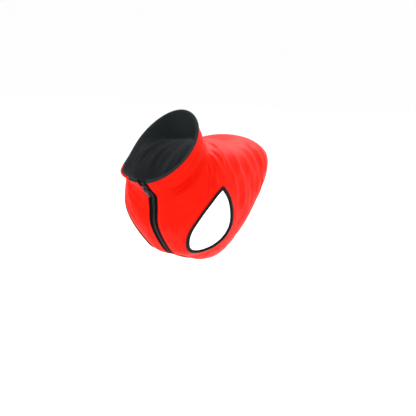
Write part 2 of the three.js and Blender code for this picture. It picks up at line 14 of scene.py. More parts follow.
import bmesh
import bpy
import numpy as np
from mathutils import Matrix, Vector


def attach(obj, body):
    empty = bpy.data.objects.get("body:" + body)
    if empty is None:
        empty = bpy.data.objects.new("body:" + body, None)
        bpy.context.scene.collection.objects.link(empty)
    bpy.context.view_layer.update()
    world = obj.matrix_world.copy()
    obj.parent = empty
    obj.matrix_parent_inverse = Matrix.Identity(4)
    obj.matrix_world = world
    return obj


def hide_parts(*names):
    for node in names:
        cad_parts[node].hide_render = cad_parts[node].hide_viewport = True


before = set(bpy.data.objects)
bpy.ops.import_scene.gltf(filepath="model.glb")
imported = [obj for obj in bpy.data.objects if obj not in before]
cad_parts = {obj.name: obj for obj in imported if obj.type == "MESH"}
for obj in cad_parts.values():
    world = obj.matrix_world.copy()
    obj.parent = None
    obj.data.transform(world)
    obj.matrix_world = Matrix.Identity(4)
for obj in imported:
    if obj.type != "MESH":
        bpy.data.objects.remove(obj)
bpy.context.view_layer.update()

log = logging.getLogger("coat")
Array = np.ndarray
Pair = tuple[float, float]

BODY = "coat"
PULL_BODY = "pull"
SIDES = (("left", 1), ("right", -1))


class Ring(NamedTuple):
    """One ring of the form, from its front point on the zip to its back point on the spine."""

    front_y: float
    front_z: float
    back_y: float
    back_z: float
    half_width: float
    widest: float
    bow: float
    front_power: float
    back_power: float


RINGS = (
    Ring(-0.157, -0.0415, -0.04, 0.049, 0.0485, 0.52, 0.003, 1.98, 1.97),
    Ring(-0.1415, -0.056, -0.031, 0.025, 0.0525, 0.52, -0.008, 1.95, 2.04),
    Ring(-0.1285, -0.0665, -0.026, 0.0095, 0.058, 0.51, -0.014, 2.03, 2.04),
    Ring(-0.126, -0.083, 0.0, 0.0026, 0.072, 0.5, -0.012, 2.19, 2.1),
    Ring(-0.122, -0.114, 0.0405, -0.0035, 0.0825, 0.49, -0.006, 2.3, 2.16),
    Ring(-0.0865, -0.1565, 0.0875, -0.003, 0.083, 0.5, 0.0005, 2.31, 2.18),
    Ring(-0.051, -0.1715, 0.1245, -0.01, 0.08, 0.53, -0.001, 2.26, 2.19),
    Ring(-0.0195, -0.1835, 0.152, -0.0215, 0.074, 0.54, -0.011, 2.22, 2.21),
    Ring(0.013, -0.19, 0.1715, -0.034, 0.066, 0.54, -0.027, 2.22, 2.23),
)
RIM = 0
NECK = 2
HEM = len(RINGS) - 1

# The cloth laid flat, for distances along it
RING_PITCH = 0.032
COLLAR_PITCH = 0.02
HALF_GIRTH = 0.31
NECK_HALF_GIRTH = 0.195

# Walls are thin at seams and edges and full in the middle of a panel
PAD_WALL = 0.0026
EDGE_WALL = 0.0014
EDGE_FLAT = 0.0055
PAD_RISE = 0.012
SEAM_GAP = 0.0003
VISIBLE_GAP = 0.00006
EDGE_ROUND = 0.0007
SEAM_ROUND = 0.00035
SEAM_DIP = 0.0003
SEAM_DIP_WIDTH = 0.0026

# The rim is turned out over the right breast
FLARE_V = -0.24
FLARE_SPREAD = 0.12
FLARE_DEPTH = 1.1
FLARE_OUT = 0.011
FLARE_UP = -0.001


class Fold(NamedTuple):
    """A soft ridge (height above 0) or trough (below 0) from start by way of middle to end."""

    start: Pair
    middle: Pair
    end: Pair
    width: float
    height: float


# The folds that the solids have too
MAIN_FOLDS = (
    Fold((2.1, 0.56), (2.35, 0.38), (2.1, 0.12), 0.007, -0.0032),
    Fold((2.75, 0.44), (2.85, 0.28), (2.75, 0.1), 0.009, 0.0016),
    Fold((3.5, 0.27), (3.62, 0.19), (3.7, 0.07), 0.006, -0.0015),
    Fold((3.95, 0.2), (4.1, 0.13), (4.2, 0.07), 0.007, 0.0011),
    Fold((2.25, 0.535), (2.95, 0.44), (3.72, 0.395), 0.0045, -0.0015),
    Fold((2.4, 0.52), (3.0, 0.465), (3.7, 0.425), 0.0045, 0.0012),
    Fold((2.6, -0.3), (2.45, -0.17), (2.75, -0.06), 0.007, -0.0034),
    Fold((2.95, -0.27), (3.2, -0.15), (3.6, -0.07), 0.007, 0.002),
    Fold((3.4, -0.28), (3.6, -0.19), (4.0, -0.1), 0.006, -0.0014),
    Fold((2.1, -0.56), (2.3, -0.45), (2.3, -0.34), 0.008, -0.0024),
    Fold((2.3, -0.54), (3.0, -0.44), (3.75, -0.4), 0.0045, -0.0014),
    Fold((2.45, 0.85), (2.75, 0.64), (3.6, 0.5), 0.006, 0.0017),
    Fold((2.7, 0.86), (3.1, 0.66), (3.6, 0.54), 0.005, -0.0013),
    Fold((3.4, 0.88), (3.85, 0.66), (4.45, 0.55), 0.007, 0.0018),
    Fold((3.9, 0.9), (4.3, 0.68), (4.75, 0.55), 0.006, -0.0014),
    Fold((4.25, 0.84), (4.75, 0.68), (5.2, 0.57), 0.007, 0.0017),
    Fold((5.0, 0.86), (5.4, 0.7), (5.7, 0.58), 0.007, -0.0015),
    Fold((5.9, 0.88), (6.3, 0.74), (6.5, 0.6), 0.008, 0.0016),
    Fold((4.6, 0.48), (5.3, 0.42), (6.1, 0.37), 0.006, -0.0014),
    Fold((5.0, 0.55), (5.7, 0.46), (6.4, 0.4), 0.007, 0.0014),
    Fold((6.7, 0.62), (7.1, 0.5), (7.4, 0.38), 0.008, -0.0015),
    Fold((2.5, -0.83), (2.9, -0.66), (3.4, -0.54), 0.006, 0.0016),
    Fold((2.9, -0.88), (3.3, -0.68), (3.8, -0.53), 0.005, -0.0014),
    Fold((3.6, -0.86), (4.0, -0.66), (4.5, -0.53), 0.007, 0.0017),
    Fold((4.2, -0.88), (4.6, -0.68), (5.0, -0.55), 0.006, -0.0014),
    Fold((4.7, -0.82), (5.1, -0.66), (5.4, -0.53), 0.007, 0.0016),
    Fold((5.6, -0.86), (6.0, -0.7), (6.2, -0.57), 0.007, -0.0015),
    Fold((4.9, -0.5), (5.7, -0.44), (6.4, -0.39), 0.007, 0.0014),
    Fold((6.6, -0.66), (7.0, -0.52), (7.3, -0.4), 0.008, -0.0015),
    Fold((5.9, 0.2), (6.2, 0.12), (6.1, 0.05), 0.007, -0.0012),
    Fold((6.6, -0.22), (6.8, -0.14), (6.7, -0.05), 0.008, 0.0012),
    Fold((2.15, 0.78), (2.25, 0.9), (2.3, 1.0), 0.009, -0.0018),
    Fold((2.15, -0.78), (2.25, -0.9), (2.3, -1.0), 0.009, -0.0018),
)

# Finer creases between them: chest, shoulders, back, flanks and collar
FINE_CREASES = (
    Fold((2.08, 0.54), (2.5, 0.33), (1.74, 0.13), 0.005, -0.0018),
    Fold((2.55, 0.4), (2.6, 0.3), (2.45, 0.16), 0.0034, 0.00105),
    Fold((3.0, 0.33), (3.15, 0.22), (3.1, 0.09), 0.003, -0.0009),
    Fold((3.3, 0.3), (3.35, 0.2), (3.45, 0.1), 0.0035, 0.0009),
    Fold((4.4, 0.12), (4.7, 0.1), (5.0, 0.08), 0.003, -0.00075),
    Fold((3.9, 0.3), (4.15, 0.2), (4.5, 0.13), 0.003, -0.00075),
    Fold((2.42, 0.5), (2.95, 0.4), (3.5, 0.3), 0.0026, 0.0013),
    Fold((2.4, 0.53), (2.9, 0.43), (3.55, 0.33), 0.0024, -0.0014),
    Fold((2.6, 0.52), (3.0, 0.44), (3.65, 0.34), 0.0026, 0.0013),
    Fold((2.9, 0.53), (3.25, 0.47), (3.7, 0.39), 0.0028, 0.0014),
    Fold((2.7, 0.54), (3.1, 0.46), (3.65, 0.37), 0.0024, -0.0014),
    Fold((2.25, 0.63), (2.8, 0.56), (3.45, 0.5), 0.003, 0.0014),
    Fold((2.25, 0.68), (2.9, 0.6), (3.6, 0.53), 0.0028, -0.0014),
    Fold((2.36, 0.8), (3.0, 0.665), (3.75, 0.555), 0.0036, 0.0017),
    Fold((2.8, 0.84), (3.3, 0.68), (3.95, 0.57), 0.0036, -0.0017),
    Fold((3.1, 0.88), (3.6, 0.7), (4.2, 0.585), 0.0038, 0.0018),
    Fold((3.5, 0.87), (4.0, 0.69), (4.5, 0.59), 0.0038, -0.0018),
    Fold((3.8, 0.86), (4.4, 0.68), (4.95, 0.59), 0.004, 0.0018),
    Fold((4.1, 0.84), (4.65, 0.695), (5.2, 0.61), 0.0038, -0.0017),
    Fold((4.4, 0.83), (4.9, 0.71), (5.5, 0.62), 0.0042, 0.0016),
    Fold((4.9, 0.84), (5.3, 0.73), (5.8, 0.64), 0.004, -0.0015),
    Fold((5.3, 0.82), (5.6, 0.73), (6.1, 0.64), 0.0044, 0.0014),
    Fold((3.7, 0.59), (4.2, 0.53), (4.7, 0.47), 0.0036, 0.0013),
    Fold((4.2, 0.645), (4.7, 0.54), (5.46, 0.42), 0.0038, 0.0014),
    Fold((4.1, 0.58), (4.6, 0.51), (5.1, 0.44), 0.0034, -0.0013),
    Fold((4.66, 0.66), (5.1, 0.55), (5.9, 0.45), 0.0038, -0.0014),
    Fold((5.3, 0.66), (5.7, 0.58), (6.3, 0.47), 0.0042, 0.0013),
    Fold((4.8, 0.44), (5.5, 0.38), (6.0, 0.34), 0.003, -0.00105),
    Fold((5.4, 0.5), (6.0, 0.44), (6.7, 0.38), 0.0034, -0.00105),
    Fold((5.8, 0.66), (6.4, 0.56), (6.9, 0.47), 0.004, 0.00105),
    Fold((2.85, -0.27), (2.95, -0.16), (3.2, -0.07), 0.0032, -0.00135),
    Fold((3.25, -0.3), (3.45, -0.19), (3.8, -0.1), 0.003, 0.00105),
    Fold((3.9, -0.24), (4.2, -0.17), (4.5, -0.1), 0.0032, -0.0009),
    Fold((2.5, -0.5), (2.95, -0.42), (3.4, -0.37), 0.0028, 0.0012),
    Fold((2.35, -0.63), (2.8, -0.56), (3.3, -0.5), 0.0028, -0.0012),
    Fold((3.1, -0.8), (3.5, -0.66), (3.9, -0.56), 0.0034, 0.00135),
    Fold((3.8, -0.8), (4.2, -0.67), (4.6, -0.57), 0.0034, -0.0012),
    Fold((4.9, -0.8), (5.3, -0.7), (5.7, -0.6), 0.0036, 0.0012),
    Fold((4.5, -0.5), (5.2, -0.44), (5.9, -0.39), 0.003, -0.0012),
    Fold((5.7, -0.64), (6.3, -0.55), (6.8, -0.46), 0.004, 0.00105),
    Fold((0.75, 0.5), (1.1, 0.4), (1.5, 0.24), 0.0035, -0.0009),
    Fold((1.2, 0.62), (1.35, 0.5), (1.7, 0.38), 0.0032, 0.0009),
    Fold((0.9, -0.55), (1.2, -0.42), (1.6, -0.3), 0.0035, -0.0009),
    Fold((1.0, 0.75), (1.3, 0.86), (1.6, 0.97), 0.004, 0.0009),
    Fold((6.2, 0.16), (6.5, 0.11), (6.9, 0.07), 0.003, -0.00075),
)
FOLD_STEPS = 10
FOLD_TAPER = 0.25
FOLD_CLEAR = 0.005
FOLD_FADE = 0.012

# Seams and edges of the left half as (u, v), mirrored on the right
SHOULDER_V = 0.59
APEX = (3.84, 0.457)
UNDERARM = (5.76, 0.21)
SHOULDER_SEAM = ((NECK, SHOULDER_V), (2.4, 0.55), (3.0, 0.502), APEX)
ARMHOLE_FRONT = (
    APEX, (3.82, 0.385), (3.98, 0.29), (4.4, 0.185), (4.93, 0.137), (5.45, 0.155), UNDERARM,
)
ARMHOLE_REAR = (APEX, (4.35, 0.442), (4.9, 0.392), (5.4, 0.33), (5.73, 0.265), UNDERARM)
SIDE_SEAM = (UNDERARM, (6.8, 0.245), (HEM, 0.28))

# Where on the zip line and on the spine the rows from the ends of those lines arrive
ROWS = (8, 16, 8)
ZIP_LINE = (NECK, 3.3, 5.7, HEM)
SPINE = (NECK, 3.6, 6.5, HEM)
FINE_PER_ROW = 5

# Distances of the first lines of cells from a rounded edge
BORDER = (0.0, 0.00007, 0.00024, 0.0005, 0.0008)
NECK_ROW = 0.0055
HEM_ROW = 0.0075
CHEST_COLUMNS = 56
BACK_COLUMNS = 84
COLLAR_ROWS = 30
COLLAR_COLUMNS = 250

# Zip: half the gap between the panels at the collar and on the belly, and its ends
ZIP_WIDE = 0.0078
ZIP_NARROW = 0.0062
ZIP_NARROWING = 3.5
ZIP_TOP = 0.1
ZIP_BOTTOM = 7.93

# Rows of sewing, and the dip that each draws in the padding
HEM_SEWING = 0.008
ZIP_SEWING = 0.0028
SEWING_DIP = 0.0003
SEWING_DIP_WIDTH = 0.0009
SEWING_LIFT = 0.00008
ZIP_SEWING_ENDS = (0.25, 7.85)
HEM_SEWING_ENDS = (0.03, 1.97)

TANGENT_STEP = 0.002
MERGE = 1e-7
ZIP_PROBE = 0.01


def smooth(t: Array | float) -> Array:
    """0 to 1 with a soft start and end."""
    c = np.clip(t, 0.0, 1.0)
    return c * c * (3 - 2 * c)


def wrap(v: Array | float) -> Array:
    """Brings v into the range from -1 to 1."""
    v = np.asarray(v, float)
    return np.where(v > 1, v - 2, v)


def spaced(corners: tuple[Pair, ...], count: int) -> Array:
    """Points along a smooth line through corners, evenly spaced on the flat cloth.

    Args:
        corners: the (u, v) points that the line passes.
        count: the number of steps.

    Returns:
        An array of count + 1 (u, v) rows.
    """
    scale = np.array([RING_PITCH, HALF_GIRTH])
    points = np.array(corners, float) * scale
    last = len(points) - 1
    t = np.linspace(0, last, 200 * last + 1)
    i = np.minimum(t.astype(int), last - 1)
    f = (t - i)[:, None]
    p0, p1 = points[np.maximum(i - 1, 0)], points[i]
    p2, p3 = points[i + 1], points[np.minimum(i + 2, last)]
    v0, v1 = (p2 - p0) / 2, (p3 - p1) / 2
    curve = (2 * p1 - 2 * p2 + v0 + v1) * f**3 + (3 * p2 - 3 * p1 - 2 * v0 - v1) * f**2 + v0 * f + p1
    length = run_length(curve)
    want = np.linspace(0, length[-1], count + 1)
    spread = [np.interp(want, length, curve[:, k]) for k in (0, 1)]
    return np.stack(spread, axis=1) / scale


def run_length(points: Array) -> Array:
    """Length along rows of points, from 0 at the first."""
    return np.concatenate([[0], np.cumsum(np.linalg.norm(np.diff(points, axis=0), axis=1))])


def line_distance(u: Array, v: Array, line: Array, share: Array | None = None) -> tuple[Array, Array]:
    """Distance on the flat cloth from points to a line.

    Args:
        u: ring numbers of the points.
        v: their places round the coat.
        line: the (u, v) rows of the line.
        share: a value for each row of the line, or None for 1 all along.

    Returns:
        The distances, and the line's share at the nearest places.
    """
    shares = np.ones(len(line)) if share is None else share
    best = np.full(np.shape(u), np.inf)
    found = np.zeros(np.shape(u))
    for k in range(len(line) - 1):
        (u0, v0), (u1, v1) = line[k], line[k + 1]
        du, dv = (u1 - u0) * RING_PITCH, (v1 - v0) * HALF_GIRTH
        x, y = (u - u0) * RING_PITCH, (v - v0) * HALF_GIRTH
        t = np.clip((x * du + y * dv) / (du * du + dv * dv), 0, 1)
        distance = np.hypot(x - t * du, y - t * dv)
        nearer = distance < best
        best = np.where(nearer, distance, best)
        found = np.where(nearer, shares[k] + (shares[k + 1] - shares[k]) * t, found)
    return best, found


class Cloth:
    """The coat's surface: its form, folds, seams and wall."""

    def __init__(self) -> None:
        """Works out the ring table, the folds' spines and the seams."""
        table = np.array(RINGS, float)
        ends = (2 * table[0] - table[1], 2 * table[-1] - table[-2])
        self.rings = np.vstack([ends[0], table, ends[1]])
        self.spines = [self.fold_spine(fold) for fold in MAIN_FOLDS + FINE_CREASES]
        self.folds = MAIN_FOLDS + FINE_CREASES
        self.shoulder = spaced(SHOULDER_SEAM, ROWS[0] * FINE_PER_ROW)
        self.front = spaced(ARMHOLE_FRONT, ROWS[1] * FINE_PER_ROW)
        self.rear = spaced(ARMHOLE_REAR, ROWS[1] * FINE_PER_ROW)
        self.side = spaced(SIDE_SEAM, ROWS[2] * FINE_PER_ROW)

    @staticmethod
    def fold_spine(fold: Fold) -> tuple[Array, Array]:
        """A fold's spine as (u, v) rows, and the share of its height at each."""
        t = np.linspace(0, 1, FOLD_STEPS + 1)[:, None]
        start, middle, end = (np.array(p) for p in (fold.start, fold.middle, fold.end))
        points = (1 - t) ** 2 * start + 2 * t * (1 - t) * middle + t * t * end
        return points, smooth(np.minimum(t, 1 - t)[:, 0] / FOLD_TAPER)

    def ring(self, column: str, u: Array) -> Array:
        """Value of one ring column at u, on a smooth curve through the table."""
        i = np.clip(np.floor(u).astype(int), 0, HEM - 1)
        f = u - i
        values = self.rings[:, Ring._fields.index(column)]
        p0, p1, p2, p3 = (values[i + k] for k in range(4))
        square = 2 * p0 - 5 * p1 + 4 * p2 - p3
        cube = 3 * p1 - p0 - 3 * p2 + p3
        return p1 + ((p2 - p0) * f + square * f * f + cube * f**3) / 2

    def form(self, u: Array, v: Array) -> Array:
        """The outer face of the form without its folds.

        Args:
            u: ring numbers.
            v: places round the coat.

        Returns:
            Points, with x, y and z on the last axis.
        """
        sine, cosine = np.sin(np.pi * v), np.cos(np.pi * v)
        back = (1 - cosine) / 2
        power = self.ring("front_power", u) * (1 - back) + self.ring("back_power", u) * back
        radius = (np.abs(sine) ** power + np.abs(cosine) ** power) ** (-1 / power)
        along = cosine * radius
        widest = self.ring("widest", u)
        fraction = np.where(along > 0, widest * (1 - along), widest + (widest - 1) * along)
        front_y, front_z = self.ring("front_y", u), self.ring("front_z", u)
        chord_y = self.ring("back_y", u) - front_y
        chord_z = self.ring("back_z", u) - front_z
        bow = self.ring("bow", u) * sine * sine / np.hypot(chord_y, chord_z)
        beside = (wrap(v) - FLARE_V) / FLARE_SPREAD
        turned = smooth(1 - np.maximum(u, 0) / FLARE_DEPTH) * np.exp(-(beside**2))
        x = self.ring("half_width", u) * sine * radius + math.sin(math.pi * FLARE_V) * FLARE_OUT * turned
        y = front_y + chord_y * fraction + chord_z * bow
        y -= math.cos(math.pi * FLARE_V) * FLARE_OUT * turned
        z = front_z + chord_z * fraction - chord_y * bow + FLARE_UP * turned
        return np.stack([x, y, z], axis=-1)

    def tangents(self, u: Array, v: Array) -> tuple[Array, Array]:
        """Directions along the cloth towards the hem, and round the coat from the zip."""
        step = TANGENT_STEP
        down = (self.form(u + step, v) - self.form(u - step, v)) / (2 * step)
        around = (self.form(u, v + step) - self.form(u, v - step)) / (2 * step)
        return down, around

    def outward(self, u: Array, v: Array) -> Array:
        """Unit normals of the form, out of the hollow."""
        normal = np.cross(*self.tangents(u, v))
        return normal / np.linalg.norm(normal, axis=-1, keepdims=True)

    def point(self, u: Array, v: Array, lift: Array | float) -> Array:
        """Points that far outside the middle of the wall, folds included.

        Args:
            u: ring numbers.
            v: places round the coat.
            lift: metres outside the middle of the wall.

        Returns:
            Points, with x, y and z on the last axis.
        """
        u, v, lift = np.broadcast_arrays(*(np.asarray(a, float) for a in (u, v, lift)))
        height = lift - PAD_WALL / 2 + self.fold_height(u, v)
        return self.form(u, v) + self.outward(u, v) * height[..., None]

    def fold_height(self, u: Array, v: Array) -> Array:
        """Height of all folds at points, flat at the zip and the armholes."""
        v = wrap(v)
        edge = np.minimum(self.zip_distance(u, v), self.armhole_distance(u, v)) - FOLD_CLEAR
        total = np.zeros(np.shape(u))
        for fold, (spine, share) in zip(self.folds, self.spines):
            distance, part = line_distance(u, v, spine, share)
            total = total + fold.height * part * np.exp(-((distance / fold.width) ** 2))
        return total * smooth(edge / FOLD_FADE)

    def opening(self, u: Array) -> Array:
        """Half the width of the gap between the panels, in which the zip shows."""
        return ZIP_WIDE + (ZIP_NARROW - ZIP_WIDE) * smooth((u - NECK) / ZIP_NARROWING)

    def beside_zip(self, u: Array, across: Array | float) -> Array:
        """The v of points that far beside the zip line."""
        u = np.asarray(u, float)
        probe = np.full(u.shape, ZIP_PROBE)
        reach = np.linalg.norm(self.form(u, probe) - self.form(u, 0 * probe), axis=-1)
        return across * ZIP_PROBE / reach

    def zip_distance(self, u: Array, v: Array) -> Array:
        """Distance from the zip edge of the panels."""
        return np.abs(v) * np.where(u < NECK, NECK_HALF_GIRTH, HALF_GIRTH) - self.opening(u)

    def armhole_distance(self, u: Array, v: Array) -> Array:
        """Distance from the nearer armhole's edge."""
        front = line_distance(u, np.abs(v), self.front)[0]
        rear = line_distance(u, np.abs(v), self.rear)[0]
        return np.minimum(front, rear)

    def seam_distance(self, u: Array, v: Array) -> Array:
        """Distance from the nearest seam between panels."""
        pitch = np.where(u < NECK, COLLAR_PITCH, RING_PITCH)
        shoulder = line_distance(u, np.abs(v), self.shoulder)[0]
        side = line_distance(u, np.abs(v), self.side)[0]
        return np.minimum(np.abs(u - NECK) * pitch, np.minimum(shoulder, side))

    def walls(self, u: Array, v: Array) -> tuple[Array, Array]:
        """Lift of the outer and inner faces of a padded panel.

        Args:
            u: ring numbers.
            v: places round the coat.

        Returns:
            The lift of the outer face and of the inner face.
        """
        v = wrap(v)
        seam = self.seam_distance(u, v)
        hem = (HEM - u) * RING_PITCH
        zip_edge = self.zip_distance(u, v)
        ends = np.minimum(u * COLLAR_PITCH, hem)
        edge = np.minimum(np.minimum(seam, ends), np.minimum(zip_edge, self.armhole_distance(u, v)))
        rise = np.clip((edge - EDGE_FLAT) / PAD_RISE, 0, 1)
        half = (EDGE_WALL + (PAD_WALL - EDGE_WALL) * np.sin(rise * np.pi / 2)) / 2
        inset = np.clip(edge / np.where(edge < seam, EDGE_ROUND, SEAM_ROUND), 0, 1)
        half = half * np.sqrt(np.clip(1 - (1 - inset) ** 2, 0.004, 1))
        dip = SEAM_DIP * np.exp(-((seam / SEAM_DIP_WIDTH) ** 2))
        for distance, place in ((hem, HEM_SEWING), (zip_edge, ZIP_SEWING)):
            dip = dip + SEWING_DIP * np.exp(-(((distance - place) / SEWING_DIP_WIDTH) ** 2))
        return half - dip, -half


class Slot(Enum):
    """Material slots of the record."""

    SHELL = "shell_red"
    LINING = "lining_grey"
    TRIM = "trim_black"
    COIL = "zip_coil_black"
    SLIDER = "slider_grey"


class Nodes:
    """A node tree that is filled in short lines."""

    def __init__(self, tree: bpy.types.NodeTree) -> None:
        """Keeps the tree."""
        self.tree = tree

    def add(self, kind: str, **values: object) -> bpy.types.Node:
        """A new node.

        Args:
            kind: the node's type name.
            values: attributes of the node, and values of inputs given as in_NAME.

        Returns:
            The node.
        """
        node = self.tree.nodes.new(kind)
        for key, value in values.items():
            if key.startswith("in_"):
                node.inputs[key[3:].replace("_", " ")].default_value = value
            else:
                setattr(node, key, value)
        return node

    def link(self, out: bpy.types.NodeSocket, into: bpy.types.NodeSocket) -> None:
        """Joins two sockets."""
        self.tree.links.new(out, into)

    def math(self, operation: str, a: object, b: object = 0.0) -> bpy.types.NodeSocket:
        """The result of a sum on sockets or numbers."""
        node = self.add("ShaderNodeMath", operation=operation)
        for socket, value in zip(node.inputs, (a, b)):
            if isinstance(value, bpy.types.NodeSocket):
                self.link(value, socket)
            else:
                socket.default_value = value
        return node.outputs[0]

    def ramp(self, fac: bpy.types.NodeSocket, dark: tuple, light: tuple) -> bpy.types.NodeSocket:
        """A colour between dark and light."""
        node = self.add("ShaderNodeMix", data_type="RGBA")
        self.link(fac, node.inputs[0])
        node.inputs[6].default_value = (*dark, 1)
        node.inputs[7].default_value = (*light, 1)
        return node.outputs[2]


def shader_group(
    name: str, inputs: dict[str, float], outputs: tuple[str, ...]
) -> tuple[Nodes, bpy.types.Node, bpy.types.Node]:
    """A new shader group with a Vector input and the named ones.

    Args:
        name: the group's name.
        inputs: float inputs with their defaults.
        outputs: float outputs.

    Returns:
        The group's nodes, its input node and its output node.
    """
    tree = bpy.data.node_groups.new(name, "ShaderNodeTree")
    tree.interface.new_socket(name="Vector", in_out="INPUT", socket_type="NodeSocketVector")
    for key, value in inputs.items():
        socket = tree.interface.new_socket(name=key, in_out="INPUT", socket_type="NodeSocketFloat")
        socket.default_value = value
    for key in outputs:
        tree.interface.new_socket(name=key, in_out="OUTPUT", socket_type="NodeSocketFloat")
    nodes = Nodes(tree)
    return nodes, nodes.add("NodeGroupInput"), nodes.add("NodeGroupOutput")


class Effects:
    """Shader groups that several finishes share."""

    def __init__(self) -> None:
        """Builds each group once."""
        self.weave = self.weave_group()
        self.crumple = self.crumple_group()
        self.grain = self.grain_group()

    @staticmethod
    def weave_group() -> bpy.types.NodeTree:
        """Crossing threads: their height, on a flat cloth's coordinates."""
        nodes, given, result = shader_group("Weave", {"Scale": 1.0, "Ribs": 0.0}, ("Height",))
        split = nodes.add("ShaderNodeSeparateXYZ")
        nodes.link(given.outputs["Vector"], split.inputs[0])
        waves = []
        for axis in (0, 1):
            turned = nodes.math("MULTIPLY", split.outputs[axis], given.outputs["Scale"])
            waves.append(nodes.math("ABSOLUTE", nodes.math("SINE", turned)))
        warp = nodes.math("MULTIPLY", waves[0], nodes.math("SUBTRACT", 1.0, given.outputs["Ribs"]))
        nodes.link(nodes.math("ADD", warp, waves[1]), result.inputs["Height"])
        return nodes.tree

    @staticmethod
    def crumple_group() -> bpy.types.NodeTree:
        """Soft uneven ripples of thin cloth over padding."""
        nodes, given, result = shader_group("Crumple", {"Scale": 1.0}, ("Height", "Patch"))
        stretch = nodes.add("ShaderNodeMapping")
        stretch.inputs["Scale"].default_value = (1.0, 0.45, 1.0)
        stretch.inputs["Rotation"].default_value = (0, 0, 0.5)
        nodes.link(given.outputs["Vector"], stretch.inputs["Vector"])
        heights = []
        for detail, rough in ((2.0, 0.45), (1.0, 0.3)):
            noise = nodes.add("ShaderNodeTexNoise", in_Detail=detail, in_Roughness=rough)
            nodes.link(stretch.outputs[0], noise.inputs["Vector"])
            nodes.link(given.outputs["Scale"], noise.inputs["Scale"])
            heights.append(noise.outputs["Fac"])
        nodes.link(heights[0], result.inputs["Height"])
        nodes.link(heights[1], result.inputs["Patch"])
        return nodes.tree

    @staticmethod
    def grain_group() -> bpy.types.NodeTree:
        """Fine speckle for roughness."""
        nodes, given, result = shader_group("Grain", {"Scale": 900.0}, ("Value",))
        noise = nodes.add("ShaderNodeTexNoise", in_Detail=3.0, in_Roughness=0.6)
        nodes.link(given.outputs["Vector"], noise.inputs["Vector"])
        nodes.link(given.outputs["Scale"], noise.inputs["Scale"])
        nodes.link(noise.outputs["Fac"], result.inputs["Value"])
        return nodes.tree


@dataclass(frozen=True)
class Finish:
    """A surface: its colours, gloss and the height of its weave and ripples.

    weave is threads per metre of cloth, and depths are in metres.
    """

    name: str
    dark: tuple[float, float, float]
    light: tuple[float, float, float]
    roughness: float
    roughness_spread: float = 0.08
    specular: float = 0.5
    weave: float = 0.0
    ribs: float = 0.0
    weave_depth: float = 0.0
    crumple: float = 0.0
    crumple_depth: float = 0.0
    sheen: float = 0.0
    sheen_roughness: float = 0.5
    metallic: float = 0.0
    coat: float = 0.0

    def material(self, effects: Effects) -> bpy.types.Material:
        """Builds the material.

        Args:
            effects: the shared shader groups.

        Returns:
            The material.
        """
        material = bpy.data.materials.new(self.name)
        material.use_nodes = True
        nodes = Nodes(material.node_tree)
        shader = nodes.tree.nodes["Principled BSDF"]
        shader.inputs["Sheen Weight"].default_value = self.sheen
        shader.inputs["Sheen Roughness"].default_value = self.sheen_roughness
        shader.inputs["Specular IOR Level"].default_value = self.specular
        shader.inputs["Metallic"].default_value = self.metallic
        shader.inputs["Coat Weight"].default_value = self.coat
        if self.sheen:
            shader.inputs["Sheen Tint"].default_value = (*(0.5 + 0.5 * c for c in self.light), 1)
        where = nodes.add("ShaderNodeTexCoord")
        place = where.outputs["UV"] if self.weave else where.outputs["Object"]
        grain = self.group(nodes, effects.grain, place, Scale=900.0)
        low, spread = self.roughness - self.roughness_spread / 2, self.roughness_spread
        rough = nodes.math("ADD", nodes.math("MULTIPLY", grain.outputs["Value"], spread), low)
        nodes.link(rough, shader.inputs["Roughness"])
        patch = grain.outputs["Value"]
        normal = None
        if self.crumple:
            ripple = self.group(nodes, effects.crumple, place, Scale=self.crumple)
            patch = ripple.outputs["Patch"]
            normal = self.bump(nodes, ripple.outputs["Height"], self.crumple_depth, normal)
        if self.weave:
            weave = self.group(
                nodes, effects.weave, place, Scale=self.weave * math.pi, Ribs=self.ribs
            )
            normal = self.bump(nodes, weave.outputs["Height"], self.weave_depth, normal)
        if normal is None:
            normal = self.bump(nodes, grain.outputs["Value"], 0.00002, None)
        nodes.link(normal, shader.inputs["Normal"])
        nodes.link(nodes.ramp(patch, self.dark, self.light), shader.inputs["Base Color"])
        return material

    @staticmethod
    def group(
        nodes: Nodes, tree: bpy.types.NodeTree, place: bpy.types.NodeSocket, **values: float
    ) -> bpy.types.Node:
        """Places a shared group.

        Args:
            nodes: the material's nodes.
            tree: the group.
            place: the coordinates that it works on.
            values: its other inputs.

        Returns:
            The group's node.
        """
        node = nodes.add("ShaderNodeGroup", node_tree=tree)
        nodes.link(place, node.inputs["Vector"])
        for key, value in values.items():
            node.inputs[key].default_value = value
        return node

    @staticmethod
    def bump(
        nodes: Nodes, height: bpy.types.NodeSocket, depth: float, normal: bpy.types.NodeSocket | None
    ) -> bpy.types.NodeSocket:
        """Adds relief.

        Args:
            nodes: the material's nodes.
            height: the relief's height from 0 to 1.
            depth: metres between those heights.
            normal: an earlier relief below it, or None.

        Returns:
            The new normal.
        """
        node = nodes.add("ShaderNodeBump", in_Distance=depth, in_Strength=1.0)
        nodes.link(height, node.inputs["Height"])
        if normal is not None:
            nodes.link(normal, node.inputs["Normal"])
        return node.outputs["Normal"]


